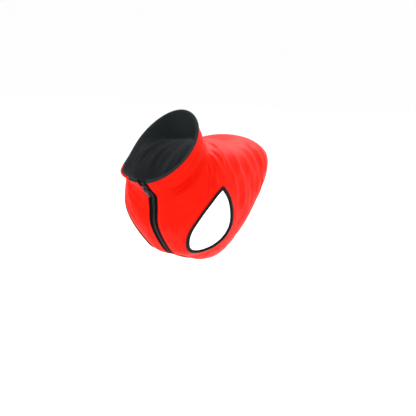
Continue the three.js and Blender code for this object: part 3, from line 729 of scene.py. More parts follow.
SHELL = Finish(
    "red satin shell", (0.86, 0.0085, 0.0018), (0.93, 0.0125, 0.003), 0.47, specular=0.045,
    weave=2200, weave_depth=0.00002, crumple=34, crumple_depth=0.0008, sheen=0.006, sheen_roughness=0.3,
)
LINING = Finish(
    "dark lining", (0.011, 0.0155, 0.017), (0.021, 0.028, 0.03), 0.75, specular=0.15,
    weave=1500, weave_depth=0.00005, crumple=40, crumple_depth=0.0006, sheen=0.04,
)
BINDING_FINISH = Finish(
    "black binding", (0.0025, 0.0028, 0.003), (0.006, 0.0065, 0.007), 0.6, specular=0.1,
    weave=1300, ribs=1.0, weave_depth=0.00008, crumple=120, crumple_depth=0.0002, sheen=0.01,
)
TAPE_FINISH = Finish(
    "black zip tape", (0.003, 0.0032, 0.0035), (0.005, 0.0052, 0.0055), 0.65, specular=0.06,
    weave=1100, ribs=0.4, weave_depth=0.0001, sheen=0.01,
)
COIL_FINISH = Finish("black nylon", (0.006, 0.0065, 0.007), (0.014, 0.015, 0.016), 0.33)
METAL = Finish(
    "dark grey metal", (0.018, 0.019, 0.021), (0.035, 0.037, 0.041), 0.36, metallic=0.7, coat=0.2
)
RED_THREAD = Finish("red thread", (0.7, 0.008, 0.004), (0.9, 0.018, 0.008), 0.5, sheen=0.2)
BLACK_THREAD = Finish("black thread", (0.006, 0.006, 0.007), (0.02, 0.021, 0.023), 0.5, sheen=0.2)


class Workshop:
    """Makes objects from bmeshes and places them on the coat."""

    def __init__(self) -> None:
        """Builds the shared shader groups and an empty rack of materials."""
        self.effects = Effects()
        self.rack: dict[str, bpy.types.Material] = {}

    def dress(self, piece: bpy.types.Object, *finishes: Finish) -> None:
        """Gives a piece its materials, each made once."""
        for finish in finishes:
            if finish.name not in self.rack:
                self.rack[finish.name] = finish.material(self.effects)
            piece.data.materials.append(self.rack[finish.name])

    def piece(self, name: str, bm: bmesh.types.BMesh, slot: Slot, *finishes: Finish) -> bpy.types.Object:
        """Turns a bmesh into a smooth object that rides on the coat.

        Args:
            name: the piece's name.
            bm: its mesh, which is freed.
            slot: the record's material slot; not used.
            finishes: its materials, in the order of the faces' material numbers.

        Returns:
            The object.
        """
        for face in bm.faces:
            face.smooth = True
        mesh = bpy.data.meshes.new(name)
        bm.to_mesh(mesh)
        bm.free()
        piece = bpy.data.objects.new(name, mesh)
        bpy.context.scene.collection.objects.link(piece)
        self.dress(piece, *finishes)
        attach(piece, BODY)
        log.info("%s: %d faces", name, len(mesh.polygons))
        return piece


def scatter(unit: bmesh.types.BMesh, places: list[Matrix]) -> bmesh.types.BMesh:
    """Repeats a small shape.

    Args:
        unit: the shape, which is freed.
        places: where each copy goes.

    Returns:
        One mesh of all the copies.
    """
    shape = bpy.data.meshes.new("unit")
    unit.to_mesh(shape)
    unit.free()
    whole = bmesh.new()
    for place in places:
        shape.transform(place)
        whole.from_mesh(shape)
        shape.transform(place.inverted())
    bpy.data.meshes.remove(shape)
    bmesh.ops.recalc_face_normals(whole, faces=whole.faces)
    return whole


def spindle(segments: int, rings: int) -> bmesh.types.BMesh:
    """A ball of radius 1."""
    bm = bmesh.new()
    bmesh.ops.create_uvsphere(bm, u_segments=segments, v_segments=rings, radius=1)
    return bm


def grid(
    bm: bmesh.types.BMesh, points: Array, flat: Array | None, wraps: tuple[bool, bool]
) -> list[bmesh.types.BMFace]:
    """A grid of cells through rows of points.

    Args:
        bm: the mesh to add to.
        points: rows x columns x 3.
        flat: rows x columns x 2, the cloth laid flat, for the UV map; None leaves it out.
        wraps: whether the rows, and the columns, close on themselves.

    Returns:
        The new faces.
    """
    rows, columns = points.shape[:2]
    made = bmesh.ops.create_grid(
        bm, x_segments=columns - 1 + wraps[1], y_segments=rows - 1 + wraps[0], size=1
    )
    layer = bm.loops.layers.uv.verify()
    place = {}
    for vert in made["verts"]:
        i = round((vert.co.y + 1) / 2 * (rows - 1 + wraps[0]))
        j = round((vert.co.x + 1) / 2 * (columns - 1 + wraps[1]))
        place[vert] = (i, j)
    for vert, (i, j) in place.items():
        vert.co = points[i % rows, j % columns]
    faces = list({face for vert in made["verts"] for face in vert.link_faces})
    if flat is not None:
        for face in faces:
            for loop in face.loops:
                i, j = place[loop.vert]
                loop[layer].uv = flat[i % rows, j % columns]
    return faces


def flat_cloth(u: Array, v: Array) -> Array:
    """The cloth laid flat, in metres."""
    return np.stack([v * HALF_GIRTH, u * RING_PITCH], axis=-1)


def panel(cloth: Cloth, u: Array, v: Array) -> bmesh.types.BMesh:
    """A padded wall through rows of (u, v) points, dark inside, whose faces meet along its edge.

    Args:
        cloth: the coat's surface.
        u: ring numbers, rows x columns.
        v: places round the coat, rows x columns.

    Returns:
        A closed mesh, with material 0 outside and 1 inside.
    """
    bm = bmesh.new()
    flat = flat_cloth(u, v)
    walls = cloth.walls(u, v)
    middle = sum(walls) / 2
    rim = np.ones(u.shape, bool)
    rim[1:-1, 1:-1] = False
    for number, lift in enumerate(walls):
        points = cloth.point(u, v, np.where(rim, middle, lift))
        for face in grid(bm, points, flat, (False, False)):
            face.material_index = number
    bmesh.ops.remove_doubles(bm, verts=bm.verts, dist=MERGE)
    bmesh.ops.recalc_face_normals(bm, faces=bm.faces)
    return bm


def strip(cloth: Cloth, u: Array, v: Array, lift: Array, looped: bool) -> bmesh.types.BMesh:
    """A solid strip through sections of (u, v, lift) points.

    Args:
        cloth: the coat's surface.
        u: ring numbers, sections x outline.
        v: places round the coat, sections x outline.
        lift: metres outside the middle of the wall, sections x outline.
        looped: whether the last section meets the first.

    Returns:
        A closed mesh.
    """
    bm = bmesh.new()
    points = cloth.point(u, v, lift)
    length, width = run_length(points[:, 0])[:, None], run_length(points[0])[None, :]
    flat = np.stack(np.broadcast_arrays(width, length), axis=-1)
    grid(bm, points, flat, (looped, True))
    bmesh.ops.remove_doubles(bm, verts=bm.verts, dist=MERGE)
    if not looped:
        ends = [edge for edge in bm.edges if len(edge.link_faces) == 1]
        bmesh.ops.holes_fill(bm, edges=ends, sides=0)
    bmesh.ops.recalc_face_normals(bm, faces=bm.faces)
    return bm


class Panels:
    """The back and the two fronts, each one padded wall."""

    def __init__(self, cloth: Cloth, shop: Workshop) -> None:
        """Keeps the cloth and works out where the rows of cells end."""
        self.cloth = cloth
        self.shop = shop
        edges = [np.array(BORDER) / NECK_ROW, sum(ROWS) - np.array(BORDER)[::-1] / HEM_ROW]
        inner = np.linspace(edges[0][-1], edges[1][0], sum(ROWS) * FINE_PER_ROW)
        self.row = np.concatenate([edges[0], inner[1:-1], edges[1]])
        corners = np.concatenate([[0], np.cumsum(ROWS)])
        self.zip_u = np.interp(self.row, corners, ZIP_LINE)
        self.spine_u = np.interp(self.row, corners, SPINE)
        self.ahead = self.seam_line(cloth.front)
        self.behind = self.seam_line(cloth.rear)

    def seam_line(self, armhole: Array) -> Array:
        """Ends of the rows on the shoulder seam, one edge of the armhole and the side seam."""
        line = np.concatenate([self.cloth.shoulder, armhole[1:], self.cloth.side[1:]])
        number = np.arange(len(line)) / FINE_PER_ROW
        return np.stack([np.interp(self.row, number, line[:, k]) for k in (0, 1)], axis=1)

    def columns(self, width: Array, count: int, both: bool) -> Array:
        """Shares of each row, close together at one or both ends.

        Args:
            width: flat width of each row.
            count: the number of columns.
            both: whether the far end is an edge too.

        Returns:
            Rows x columns of shares from 0 to 1.
        """
        near = (np.array(BORDER) + VISIBLE_GAP / 2)[None, :] / width[:, None]
        far = 1 - near[:, ::-1] if both else np.ones((len(width), 1))
        t = np.linspace(0, 1, count)[None, :]
        middle = near[:, -1:] + (far[:, :1] - near[:, -1:]) * t
        return np.concatenate([near, middle[:, 1:-1], far], axis=1)

    def below_neck(self, u: Array) -> Array:
        """Keeps a panel just below the neck seam."""
        return np.maximum(u, NECK + VISIBLE_GAP / 2 / RING_PITCH)

    def front_grid(self) -> tuple[Array, Array]:
        """The (u, v) points of the left front, from the zip to the seams."""
        start = np.stack([self.zip_u, self.cloth.beside_zip(self.zip_u, self.cloth.opening(self.zip_u))], 1)
        reach = (self.ahead - start) * np.array([RING_PITCH, HALF_GIRTH])
        t = self.columns(np.linalg.norm(reach, axis=1), CHEST_COLUMNS, True)[:, :, None]
        points = start[:, None] + (self.ahead - start)[:, None] * t
        return self.below_neck(points[..., 0]), points[..., 1]

    def back_grid(self) -> tuple[Array, Array]:
        """The (u, v) points of the back, over the spine from side to side."""
        end = np.stack([self.spine_u, np.ones_like(self.spine_u)], 1)
        reach = (end - self.behind) * np.array([RING_PITCH, HALF_GIRTH])
        t = self.columns(np.linalg.norm(reach, axis=1), BACK_COLUMNS, False)
        bent = 1 - (1 - t) ** 2
        u = self.behind[:, :1] + (end - self.behind)[:, :1] * bent
        v = self.behind[:, 1:] + (end - self.behind)[:, 1:] * t
        u = self.below_neck(np.concatenate([u, u[:, -2::-1]], axis=1))
        return u, np.concatenate([v, 2 - v[:, -2::-1]], axis=1)

    def build(self) -> None:
        """Makes the three panels."""
        u, v = self.front_grid()
        for side, sign in SIDES:
            bm = panel(self.cloth, u, sign * v)
            front = self.shop.piece(f"front_{side}", bm, Slot.SHELL, SHELL, LINING)
            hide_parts(f"chest_panel_{side}")
        back = self.shop.piece("back", panel(self.cloth, *self.back_grid()), Slot.SHELL, SHELL, LINING)
        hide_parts("back_panel")


@dataclass
class Collar:
    """The stand collar and its lining, which rolls over the rim.

    Lining sizes are in metres; bottom is a ring number.
    """

    cloth: Cloth
    shop: Workshop
    wall: float = 0.001
    bottom: float = 1.96
    lap: float = 0.0012
    cap: float = 0.0003
    ease: float = 0.0003
    near_zip: float = 0.012
    tape_room: float = 0.0016
    tape_reach: float = 0.0042
    roll_steps: int = 14
    turned_from: float = -0.31
    turned_to: float = -0.13
    turned_steps: int = 40
    turned_rise: float = -0.04
    turned_lift: float = 0.0006
    turned_inside: float = -0.0008
    turned_reach: float = 0.0035
    roll_top: float = 0.06
    roll_rise: float = 0.0006

    def around(self) -> Array:
        """Places round the collar, from zip edge to zip edge, for one height."""
        edge = np.array(BORDER) / NECK_HALF_GIRTH
        t = np.linspace(edge[-1], 2 - edge[-1], COLLAR_COLUMNS)
        return np.concatenate([edge, t[1:-1], 2 - edge[::-1]])

    def columns(self, u: Array) -> Array:
        """The v of each column at heights u, from the zip edge round to the other."""
        edge = self.cloth.beside_zip(u, self.cloth.opening(u))[..., None]
        return edge + (1 - edge) * self.around()

    def build(self) -> None:
        """Makes the collar and its lining."""
        bottom = NECK - VISIBLE_GAP / 2 / COLLAR_PITCH
        border = np.array(BORDER) / COLLAR_PITCH
        inner = np.linspace(border[-1], bottom - border[-1], COLLAR_ROWS)
        rows = np.concatenate([border, inner[1:-1], bottom - border[::-1]])
        v = self.columns(rows)
        u = np.broadcast_to(rows[:, None], v.shape)
        collar = self.shop.piece("collar_wall", panel(self.cloth, u, v), Slot.SHELL, SHELL, LINING)
        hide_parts("collar")
        self.build_lining()

    def build_lining(self) -> None:
        """Makes the lining: up the inside, over the rim and a little down the outside."""
        heights = np.linspace(self.bottom, self.roll_top, COLLAR_ROWS)
        v = self.columns(heights)
        rim_v = self.columns(np.zeros(1))[0]
        beside = self.cloth.zip_distance(np.zeros(rim_v.shape), wrap(rim_v)) - self.tape_reach
        room = SEAM_GAP + self.ease + self.tape_room * (1 - smooth(beside / self.near_zip))
        u = np.broadcast_to(heights[:, None], v.shape)
        inner = self.cloth.walls(u, v)[1] - room
        face = EDGE_WALL / 2 + SEAM_GAP
        low, top = self.lap / COLLAR_PITCH, -self.cap / COLLAR_PITCH
        parts = [(u, v, inner)]
        angle = np.linspace(0, math.pi, self.roll_steps)[:, None]
        inward = face + room - SEAM_GAP
        for turn, grow in ((angle, 0.0), (angle[::-1], self.wall)):
            lift = (face - inward) / 2 - np.cos(turn) * ((face + inward) / 2 + grow)
            rise = top - np.sin(turn) * (self.roll_rise + grow) / COLLAR_PITCH
            lapped = [(np.full_like(rim_v, low)[None], rim_v[None], np.full_like(rim_v, face + grow)[None])]
            roll = [(np.broadcast_to(rise, lift.shape), np.broadcast_to(rim_v, lift.shape), lift)]
            parts += roll + lapped if grow == 0 else lapped + roll
        parts.append((u[::-1], v[::-1], inner[::-1] - self.wall))
        section = [np.concatenate([part[k] for part in parts]).T for k in range(3)]
        bm = strip(self.cloth, *section, looped=False)
        self.turn_corner(bm)
        lining = self.shop.piece("collar_facing", bm, Slot.LINING, LINING, SHELL)
        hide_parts("collar_lining")

    def turn_corner(self, bm: bmesh.types.BMesh) -> None:
        """Shows the shell's red on the roll of the corner that is turned out.

        Args:
            bm: the lining's mesh.
        """
        v = np.linspace(self.turned_from, self.turned_to, self.turned_steps)
        rim = self.cloth.point(np.full(v.shape, self.turned_rise), v, self.turned_lift)
        across = self.cloth.outward(np.zeros(v.shape), v)
        for face in bm.faces:
            centre = np.array(face.calc_center_median())
            away = np.linalg.norm(rim - centre, axis=1)
            k = int(away.argmin())
            outside = float(np.dot(centre - rim[k], across[k])) > self.turned_inside
            if outside and 0 < k < len(v) - 1 and away[k] < self.turned_reach:
                face.material_index = 1


@dataclass
class Bindings:
    """Folded strips round the armholes, with the panels' edge in their slot."""

    cloth: Cloth
    shop: Workshop
    leaf: float = 0.0008
    over: float = 0.0036
    nose: float = 0.0016
    ease: float = 0.0002
    nose_steps: int = 9
    sewing: float = 0.0026

    def loop(self) -> Array:
        """The armhole's edge as (u, v) rows, all the way round."""
        return np.concatenate([self.cloth.rear[:-1], self.cloth.front[:0:-1]])

    def outline(self) -> Array:
        """Rows of metres into the opening, and lift."""
        slot = EDGE_WALL / 2 + SEAM_GAP
        face = slot + self.leaf
        nose = SEAM_GAP + self.nose
        turn = np.linspace(math.pi / 2, -math.pi / 2, self.nose_steps)
        rounded = np.stack([nose * np.cos(turn), face * np.sin(turn)], axis=1)
        end = -self.over
        outer = [(end, slot + self.ease), (end - 0.0002, face - 0.0003), (end + 0.0001, face)]
        inner = [(x, -lift) for x, lift in reversed(outer)]
        hollow = [(SEAM_GAP, -slot), (SEAM_GAP, slot)]
        return np.array([*outer, (end / 2, face), *rounded, (end / 2, -face), *inner, *hollow])

    def beside(self, into: Array) -> tuple[Array, Array]:
        """Points beside the armhole's edge.

        Args:
            into: metres into the opening, for each point of an outline.

        Returns:
            The u and v of sections x outline points.
        """
        loop = self.loop()
        u, v = loop[:, 0], loop[:, 1]
        ahead, behind = (self.cloth.form(*np.roll(loop, k, axis=0).T) for k in (-1, 1))
        edge = ahead - behind
        aside = np.cross(self.cloth.outward(u, v), edge)
        aside /= np.linalg.norm(aside, axis=1, keepdims=True)
        here = self.cloth.form(u, v)
        inwards = np.sign(np.sum(aside * (here.mean(axis=0) - here), axis=1))
        aside *= inwards[:, None]
        down, around = self.cloth.tangents(u, v)
        a, b, c = (np.sum(p * q, axis=1) for p, q in ((down, down), (down, around), (around, around)))
        p, q = np.sum(aside * down, axis=1), np.sum(aside * around, axis=1)
        area = a * c - b * b
        step_u, step_v = (c * p - b * q) / area, (a * q - b * p) / area
        return u[:, None] + step_u[:, None] * into, v[:, None] + step_v[:, None] * into

    def build(self) -> None:
        """Makes both bindings."""
        outline = self.outline()
        u, v = self.beside(outline[:, 0])
        lift = np.broadcast_to(outline[:, 1], u.shape)
        for side, sign in SIDES:
            bm = strip(self.cloth, u, sign * v, lift, looped=True)
            piece = self.shop.piece(f"binding_{side}", bm, Slot.TRIM, BINDING_FINISH)
            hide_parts(f"armhole_binding_{side}")

    def sewing_line(self, sign: int) -> tuple[Array, Array]:
        """Points and normals of the row of sewing on a binding."""
        u, v = (part[:, 0] for part in self.beside(np.array([-self.sewing])))
        lift = EDGE_WALL / 2 + SEAM_GAP + self.leaf
        return self.cloth.point(u, sign * v, lift), self.cloth.outward(u, sign * v)


class Sewing:
    """Rows of stitches, each row one mesh of small spindles."""

    def __init__(self, shop: Workshop) -> None:
        """Keeps the workshop."""
        self.shop = shop

    def row(
        self,
        name: str,
        line: tuple[Array, Array],
        finish: Finish,
        slot: Slot,
        stitch: float = 0.0023,
        gap: float = 0.0007,
        radius: float = 0.00022,
    ) -> None:
        """Makes one row.

        Args:
            name: the piece's name.
            line: points of the row and the cloth's normals there.
            finish: the thread.
            slot: the record's material slot.
            stitch: length of a stitch.
            gap: space to the next.
            radius: half the thread's width.
        """
        points, normals = line
        length = run_length(points)
        middle = np.arange(stitch, length[-1] - stitch / 2, stitch + gap)
        places = []
        for where in middle:
            ends = [self.at(where + s * stitch / 2, length, points) for s in (-1, 1)]
            along = (ends[1] - ends[0]).normalized()
            out = self.at(where, length, normals).normalized()
            side = out.cross(along).normalized()
            turn = Matrix((side, out, along)).transposed().to_4x4()
            size = Matrix.Diagonal((radius, radius * 0.8, stitch / 2, 1))
            centre = Matrix.Translation(self.at(where, length, points))
            places.append(centre @ turn @ size)
        self.shop.piece(name, scatter(spindle(6, 5), places), slot, finish)

    @staticmethod
    def at(where: float, length: Array, rows: Array) -> Vector:
        """The value of rows at a length along the line."""
        return Vector([np.interp(where, length, rows[:, k]) for k in range(3)])

    @staticmethod
    def on_cloth(cloth: Cloth, u: Array, v: Array) -> tuple[Array, Array]:
        """Points on the outer face of the panels, and normals."""
        lift = cloth.walls(u, v)[0] + SEWING_LIFT
        return cloth.point(u, v, lift), cloth.outward(u, v)


@dataclass
class Zip:
    """Two tapes behind the panels' edges and a closed coil of teeth."""

    cloth: Cloth
    shop: Workshop
    inner: float = 0.0012
    outer: float = 0.012
    wall: float = 0.0006
    drop: float = 0.0006
    under: float = 0.00035
    stations: int = 180
    tooth_pitch: float = 0.0013
    tooth_length: float = 0.0026
    tooth_width: float = 0.00042
    tooth_height: float = 0.00055
    overlap: float = 0.0004
    tilt: float = 0.16
    probe: float = 0.0005

    def line(self, across: float, lift: float) -> tuple[Array, Array]:
        """Points and normals along the zip.

        Args:
            across: metres beside its middle.
            lift: metres outside the middle of the wall.

        Returns:
            The points, and the cloth's normals there.
        """
        u = np.linspace(ZIP_TOP, ZIP_BOTTOM, self.stations * 4)
        v = self.cloth.beside_zip(u, across)
        return self.cloth.point(u, v, lift), self.cloth.outward(u, v)

    def build(self) -> None:
        """Makes the tapes and the coil."""
        face = -EDGE_WALL / 2 - self.under
        u = np.linspace(ZIP_TOP, ZIP_BOTTOM, self.stations)[:, None]
        outline = np.array([
            (self.inner, face - self.wall),
            (self.outer, face - self.wall - self.drop),
            (self.outer, face - self.drop),
            (ZIP_WIDE, face),
            ((ZIP_WIDE + self.inner) / 2, face),
            (self.inner, face),
        ])
        for side, sign in SIDES:
            v = self.cloth.beside_zip(np.broadcast_to(u, (len(u), len(outline))), sign * outline[:, 0])
            lift = np.broadcast_to(outline[:, 1], v.shape)
            bm = strip(self.cloth, np.broadcast_to(u, v.shape), v, lift, looped=False)
            tape = self.shop.piece(f"tape_{side}", bm, Slot.TRIM, TAPE_FINISH)
            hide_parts(f"zip_tape_{side}")
        self.build_teeth(face)

    def build_teeth(self, face: float) -> None:
        """Makes the coil: two rows of slanted loops that mesh in the middle.

        Args:
            face: lift of the tapes' outer face.
        """
        places = []
        points, normals = self.line(0.0, face + self.tooth_height)
        length = run_length(points)
        for _, sign in SIDES:
            start = self.tooth_pitch * (0.5 if sign > 0 else 1.0)
            for where in np.arange(start, length[-1], self.tooth_pitch):
                here = Sewing.at(where, length, points)
                out = Sewing.at(where, length, normals).normalized()
                above, below = (Sewing.at(where + s * self.probe, length, points) for s in (-1, 1))
                up = above - below
                across = up.cross(out).normalized()
                basis = Matrix((across, out.cross(across), out)).transposed().to_4x4()
                middle = sign * (self.tooth_length / 2 - self.overlap)
                local = Matrix.Translation((middle, 0, 0)) @ Matrix.Rotation(sign * self.tilt, 4, "Z")
                size = Matrix.Diagonal((self.tooth_length / 2, self.tooth_width, self.tooth_height, 1))
                places.append(Matrix.Translation(here) @ basis @ local @ size)
        coil = self.shop.piece("teeth", scatter(spindle(8, 6), places), Slot.COIL, COIL_FINISH)
        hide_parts("zip_coil")


def rounded_box(t: Array, size: Pair | tuple[Array, float], power: float) -> tuple[Array, Array]:
    """A rounded rectangle about 0.

    Args:
        t: the angle of each point.
        size: its width, which may differ from point to point, and its height.
        power: how square it is, from 1 for round down to 0.

    Returns:
        The x and the y of the points.
    """
    across, along = (np.sign(s) * np.abs(s) ** power for s in (np.cos(t), np.sin(t)))
    return size[0] / 2 * across, size[1] / 2 * along


def rounded_plate(bm: bmesh.types.BMesh, outline: list[Pair], hole: list[Pair], wall: float) -> None:
    """A plate with a hole, in the x and y plane and centred on z.

    Args:
        bm: the mesh to add to.
        outline: its outer (x, y) points.
        hole: as many points round the hole.
        wall: its thickness.
    """
    loops = []
    for corners in (outline, hole):
        made = bmesh.ops.create_circle(bm, segments=len(corners), radius=1)["verts"]
        for vert, (x, y) in zip(made, corners):
            vert.co = (x, y, -wall / 2)
        loops += list({edge for vert in made for edge in vert.link_edges})
    faces = bmesh.ops.bridge_loops(bm, edges=loops)["faces"]
    bmesh.ops.recalc_face_normals(bm, faces=faces)
    top = bmesh.ops.extrude_face_region(bm, geom=faces)["geom"]
    verts = [item for item in top if isinstance(item, bmesh.types.BMVert)]
    bmesh.ops.translate(bm, verts=verts, vec=(0, 0, wall))
    bmesh.ops.recalc_face_normals(bm, faces=bm.faces)


@dataclass
class Slider:
    """The slider with its bail, and the pull tab that hangs from it."""

    cloth: Cloth
    shop: Workshop
    u: float = 0.62
    reach: float = 0.2
    length: float = 0.012
    width: float = 0.0084
    tail: float = 0.0062
    plate: float = 0.0013
    ceiling: float = 0.00095
    skirt: float = 0.0007
    bail_length: float = 0.0076
    bail_rise: float = 0.0032
    bail_wall: float = 0.0009
    bail_width: float = 0.0016
    pull_length: float = 0.02
    pull_top: float = 0.00055
    pull_width: float = 0.0064
    pull_tail: float = 0.0046
    pull_wall: float = 0.0012
    pull_rest: float = 46.0
    slot_length: float = 0.0046
    slot_width: float = 0.0029
    pull_square: float = 0.45
    slot_square: float = 0.5
    pull_round: float = 0.0002
    sharp: float = 1.0
    corners: int = 40
    flange_wall: float = 0.0013
    flange_share: float = 0.8
    flange_out: float = 0.0002
    body_round: float = 0.0005

    def frame(self) -> Matrix:
        """A frame on the zip: x across, y up along it, z out of the cloth."""
        u = np.array([self.u - self.reach, self.u, self.u + self.reach])
        above, here, below = self.cloth.point(u, np.zeros(3), 0.0)
        up = Vector((0, *(above - below)[1:])).normalized()
        across = Vector((1, 0, 0))
        basis = Matrix((across, up, across.cross(up))).transposed().to_4x4()
        return Matrix.Translation((0, here[1], here[2])) @ basis

    def body(self) -> bmesh.types.BMesh:
        """The slider's plate, flanges and bail, in its own frame."""
        bm = bmesh.new()
        top = self.ceiling + self.plate
        box = bmesh.ops.create_cube(bm, size=1)["verts"]
        bmesh.ops.scale(bm, verts=box, vec=(self.width, self.length, self.plate))
        bmesh.ops.translate(bm, verts=box, vec=(0, 0, self.ceiling + self.plate / 2))
        for vert in box:
            if vert.co.y < 0:
                vert.co.x *= self.tail / self.width
        for sign in (-1, 1):
            flange = bmesh.ops.create_cube(bm, size=1)["verts"]
            depth = self.ceiling + self.skirt
            size = (self.flange_wall, self.length * self.flange_share, depth)
            bmesh.ops.scale(bm, verts=flange, vec=size)
            centre = (sign * (self.tail / 2 + self.flange_out), 0, self.ceiling - depth / 2)
            bmesh.ops.translate(bm, verts=flange, vec=centre)
        bmesh.ops.bevel(
            bm, geom=bm.edges, offset=self.body_round, segments=3, profile=0.5, affect="EDGES", material=-1
        )
        self.add_bail(bm, top)
        bmesh.ops.recalc_face_normals(bm, faces=bm.faces)
        return bm

    def add_bail(self, bm: bmesh.types.BMesh, top: float) -> None:
        """Adds an arch over the plate that the pull hangs on.

        Args:
            bm: the slider's mesh.
            top: height of the plate's outer face.
        """
        section = bmesh.ops.create_circle(bm, segments=12, radius=1)["verts"]
        size = Matrix.Diagonal((self.bail_width / 2, self.bail_wall / 2, 1, 1))
        start = Matrix.Translation((0, -self.bail_length / 2 + self.bail_wall / 2, 0))
        bmesh.ops.transform(bm, matrix=start @ size, verts=section)
        ring = list({edge for vert in section for edge in vert.link_edges})
        made = bmesh.ops.spin(
            bm, geom=ring, cent=(0, 0, 0), axis=(1, 0, 0), dvec=(0, 0, 0), angle=-math.pi, steps=20,
            use_merge=False, use_normal_flip=False, use_duplicate=False,
        )
        arch = {item for item in (*section, *made["geom_last"]) if isinstance(item, bmesh.types.BMVert)}
        linked, grow = set(arch), arch
        while grow:
            grow = {e.other_vert(v) for v in grow for e in v.link_edges} - linked
            linked |= grow
        rise = (self.bail_rise + self.plate / 2) / (self.bail_length / 2)
        for vert in linked:
            vert.co.z = top - self.plate / 2 + abs(vert.co.z) * rise
        ends = [edge for edge in bm.edges if len(edge.link_faces) == 1]
        bmesh.ops.holes_fill(bm, edges=ends, sides=0)

    def pull(self) -> bmesh.types.BMesh:
        """The tab in its own frame: x across, y up from its axis."""
        bm = bmesh.new()
        t = np.linspace(0, 2 * math.pi, self.corners, endpoint=False)
        top, low = self.pull_top, -self.pull_length
        y = (top + low) / 2 + rounded_box(t, (0.0, top - low), self.pull_square)[1]
        width = self.pull_tail + (self.pull_width - self.pull_tail) * (y - low) / (top - low)
        x = rounded_box(t, (width, 0.0), self.pull_square)[0]
        hole_x, hole_y = rounded_box(t, (self.slot_width, self.slot_length), self.slot_square)
        hole_y -= self.pull_top + self.slot_length / 2
        rounded_plate(bm, list(zip(x, y)), list(zip(hole_x, hole_y)), self.pull_wall)
        rims = [edge for edge in bm.edges if edge.calc_face_angle(0) > self.sharp]
        bmesh.ops.bevel(
            bm, geom=rims, offset=self.pull_round, segments=2, profile=0.5, affect="EDGES", material=-1
        )
        return bm

    def build(self) -> None:
        """Makes the slider on the coat and the pull on its own body."""
        place = self.frame()
        bm = self.body()
        bmesh.ops.transform(bm, matrix=place, verts=bm.verts)
        slider = self.shop.piece("slider", bm, Slot.SLIDER, METAL)
        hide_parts("zip_slider")
        axis = place @ Vector((0, 0, self.ceiling + self.plate + (self.bail_rise - self.bail_wall) / 2))
        turn = math.radians(90 + self.pull_rest)
        upright = Matrix.Translation(axis) @ Matrix.Rotation(turn, 4, "X")
        tab = self.pull()
        bmesh.ops.transform(tab, matrix=upright, verts=tab.verts)
        pull = self.shop.piece("pull_tab", tab, Slot.SLIDER, METAL)
        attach(pull, PULL_BODY)
        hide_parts("zip_pull")


@dataclass(frozen=True)
class Lamp:
    """A soft square light, aimed at the coat."""

    name: str
    place: tuple[float, float, float]
    size: float
    power: float


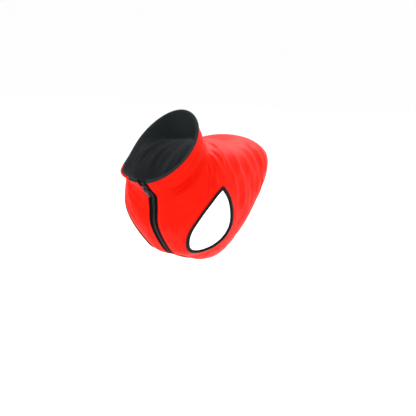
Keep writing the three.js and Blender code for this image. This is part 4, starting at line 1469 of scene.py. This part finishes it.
@dataclass
class Studio:
    """Pale floor, soft lights and the camera at the photograph's angle."""

    target: tuple[float, float, float] = (0.010246, 0.016148, -0.10852)
    azimuth: float = 29.915
    elevation: float = 11.877
    distance: float = 1.9
    focal_pixels: float = 1224.8
    image_pixels: float = 416.0
    sensor: float = 36.0
    floor: float = -0.385
    floor_size: float = 30.0
    lamps: tuple[Lamp, ...] = (
        Lamp("front", (-1.1, -1.6, 0.9), 1.2, 5.0),
        Lamp("top", (-0.05, 1.6, 1.35), 0.9, 35.0),
    )
    sky_strength: float = 1.07

    def build(self) -> None:
        """Makes the floor, the lights, the sky and the camera."""
        self.build_camera()
        self.build_floor()
        for lamp in self.lamps:
            self.build_lamp(lamp)
        world = bpy.data.worlds.new("pale sky")
        world.use_nodes = True
        sky = world.node_tree.nodes["Background"]
        sky.inputs["Color"].default_value = (1, 1, 1, 1)
        sky.inputs["Strength"].default_value = self.sky_strength
        bpy.context.scene.world = world
        bpy.context.scene.view_settings.view_transform = "Standard"

    def build_camera(self) -> None:
        """Places the camera at the photograph's viewing angle."""
        a, e = math.radians(self.azimuth), math.radians(self.elevation)
        back = Vector((math.sin(a) * math.cos(e), -math.cos(a) * math.cos(e), math.sin(e)))
        data = bpy.data.cameras.new("camera")
        data.sensor_width = self.sensor
        data.lens = self.focal_pixels * self.sensor / self.image_pixels
        camera = bpy.data.objects.new("camera", data)
        camera.location = Vector(self.target) + back * self.distance
        camera.rotation_mode = "QUATERNION"
        camera.rotation_quaternion = (-back).to_track_quat("-Z", "Y")
        bpy.context.scene.collection.objects.link(camera)
        bpy.context.scene.camera = camera

    def build_floor(self) -> None:
        """Lays a plain pale floor."""
        bm = bmesh.new()
        bmesh.ops.create_grid(bm, x_segments=1, y_segments=1, size=self.floor_size)
        bmesh.ops.translate(bm, verts=bm.verts, vec=(0, 0, self.floor))
        mesh = bpy.data.meshes.new("floor")
        bm.to_mesh(mesh)
        bm.free()
        floor = bpy.data.objects.new("floor", mesh)
        material = bpy.data.materials.new("pale floor")
        material.use_nodes = True
        shader = material.node_tree.nodes["Principled BSDF"]
        shader.inputs["Base Color"].default_value = (0.92, 0.92, 0.92, 1)
        shader.inputs["Roughness"].default_value = 0.9
        mesh.materials.append(material)
        bpy.context.scene.collection.objects.link(floor)

    def build_lamp(self, lamp: Lamp) -> None:
        """Hangs one light, turned to the coat."""
        data = bpy.data.lights.new(lamp.name, "AREA")
        data.shape = "SQUARE"
        data.size = lamp.size
        data.energy = lamp.power
        light = bpy.data.objects.new(lamp.name, data)
        light.location = lamp.place
        aim = Vector(self.target) - Vector(lamp.place)
        light.rotation_mode = "QUATERNION"
        light.rotation_quaternion = aim.to_track_quat("-Z", "Y")
        bpy.context.scene.collection.objects.link(light)


def sew(cloth: Cloth, shop: Workshop, bindings: Bindings) -> None:
    """Adds the rows of sewing: beside the zip, on the hem and on the bindings."""
    sewing = Sewing(shop)
    for side, sign in SIDES:
        u = np.linspace(*ZIP_SEWING_ENDS, 500)
        v = cloth.beside_zip(u, sign * (cloth.opening(u) + ZIP_SEWING))
        sewing.row(f"zip_sewing_{side}", sewing.on_cloth(cloth, u, v), RED_THREAD, Slot.SHELL)
        sewing.row(f"binding_sewing_{side}", bindings.sewing_line(sign), BLACK_THREAD, Slot.TRIM)
    v = np.linspace(*HEM_SEWING_ENDS, 900)
    u = np.full(v.shape, HEM - HEM_SEWING / RING_PITCH)
    sewing.row("hem_sewing", sewing.on_cloth(cloth, u, v), RED_THREAD, Slot.SHELL)


def main() -> None:
    """Builds the coat and its studio, in order."""
    logging.basicConfig(level=logging.INFO, format="%(name)s: %(message)s")
    cloth = Cloth()
    shop = Workshop()
    Studio().build()
    Panels(cloth, shop).build()
    Collar(cloth, shop).build()
    bindings = Bindings(cloth, shop)
    bindings.build()
    Zip(cloth, shop).build()
    Slider(cloth, shop).build()
    sew(cloth, shop, bindings)


if __name__ == "__main__":
    main()
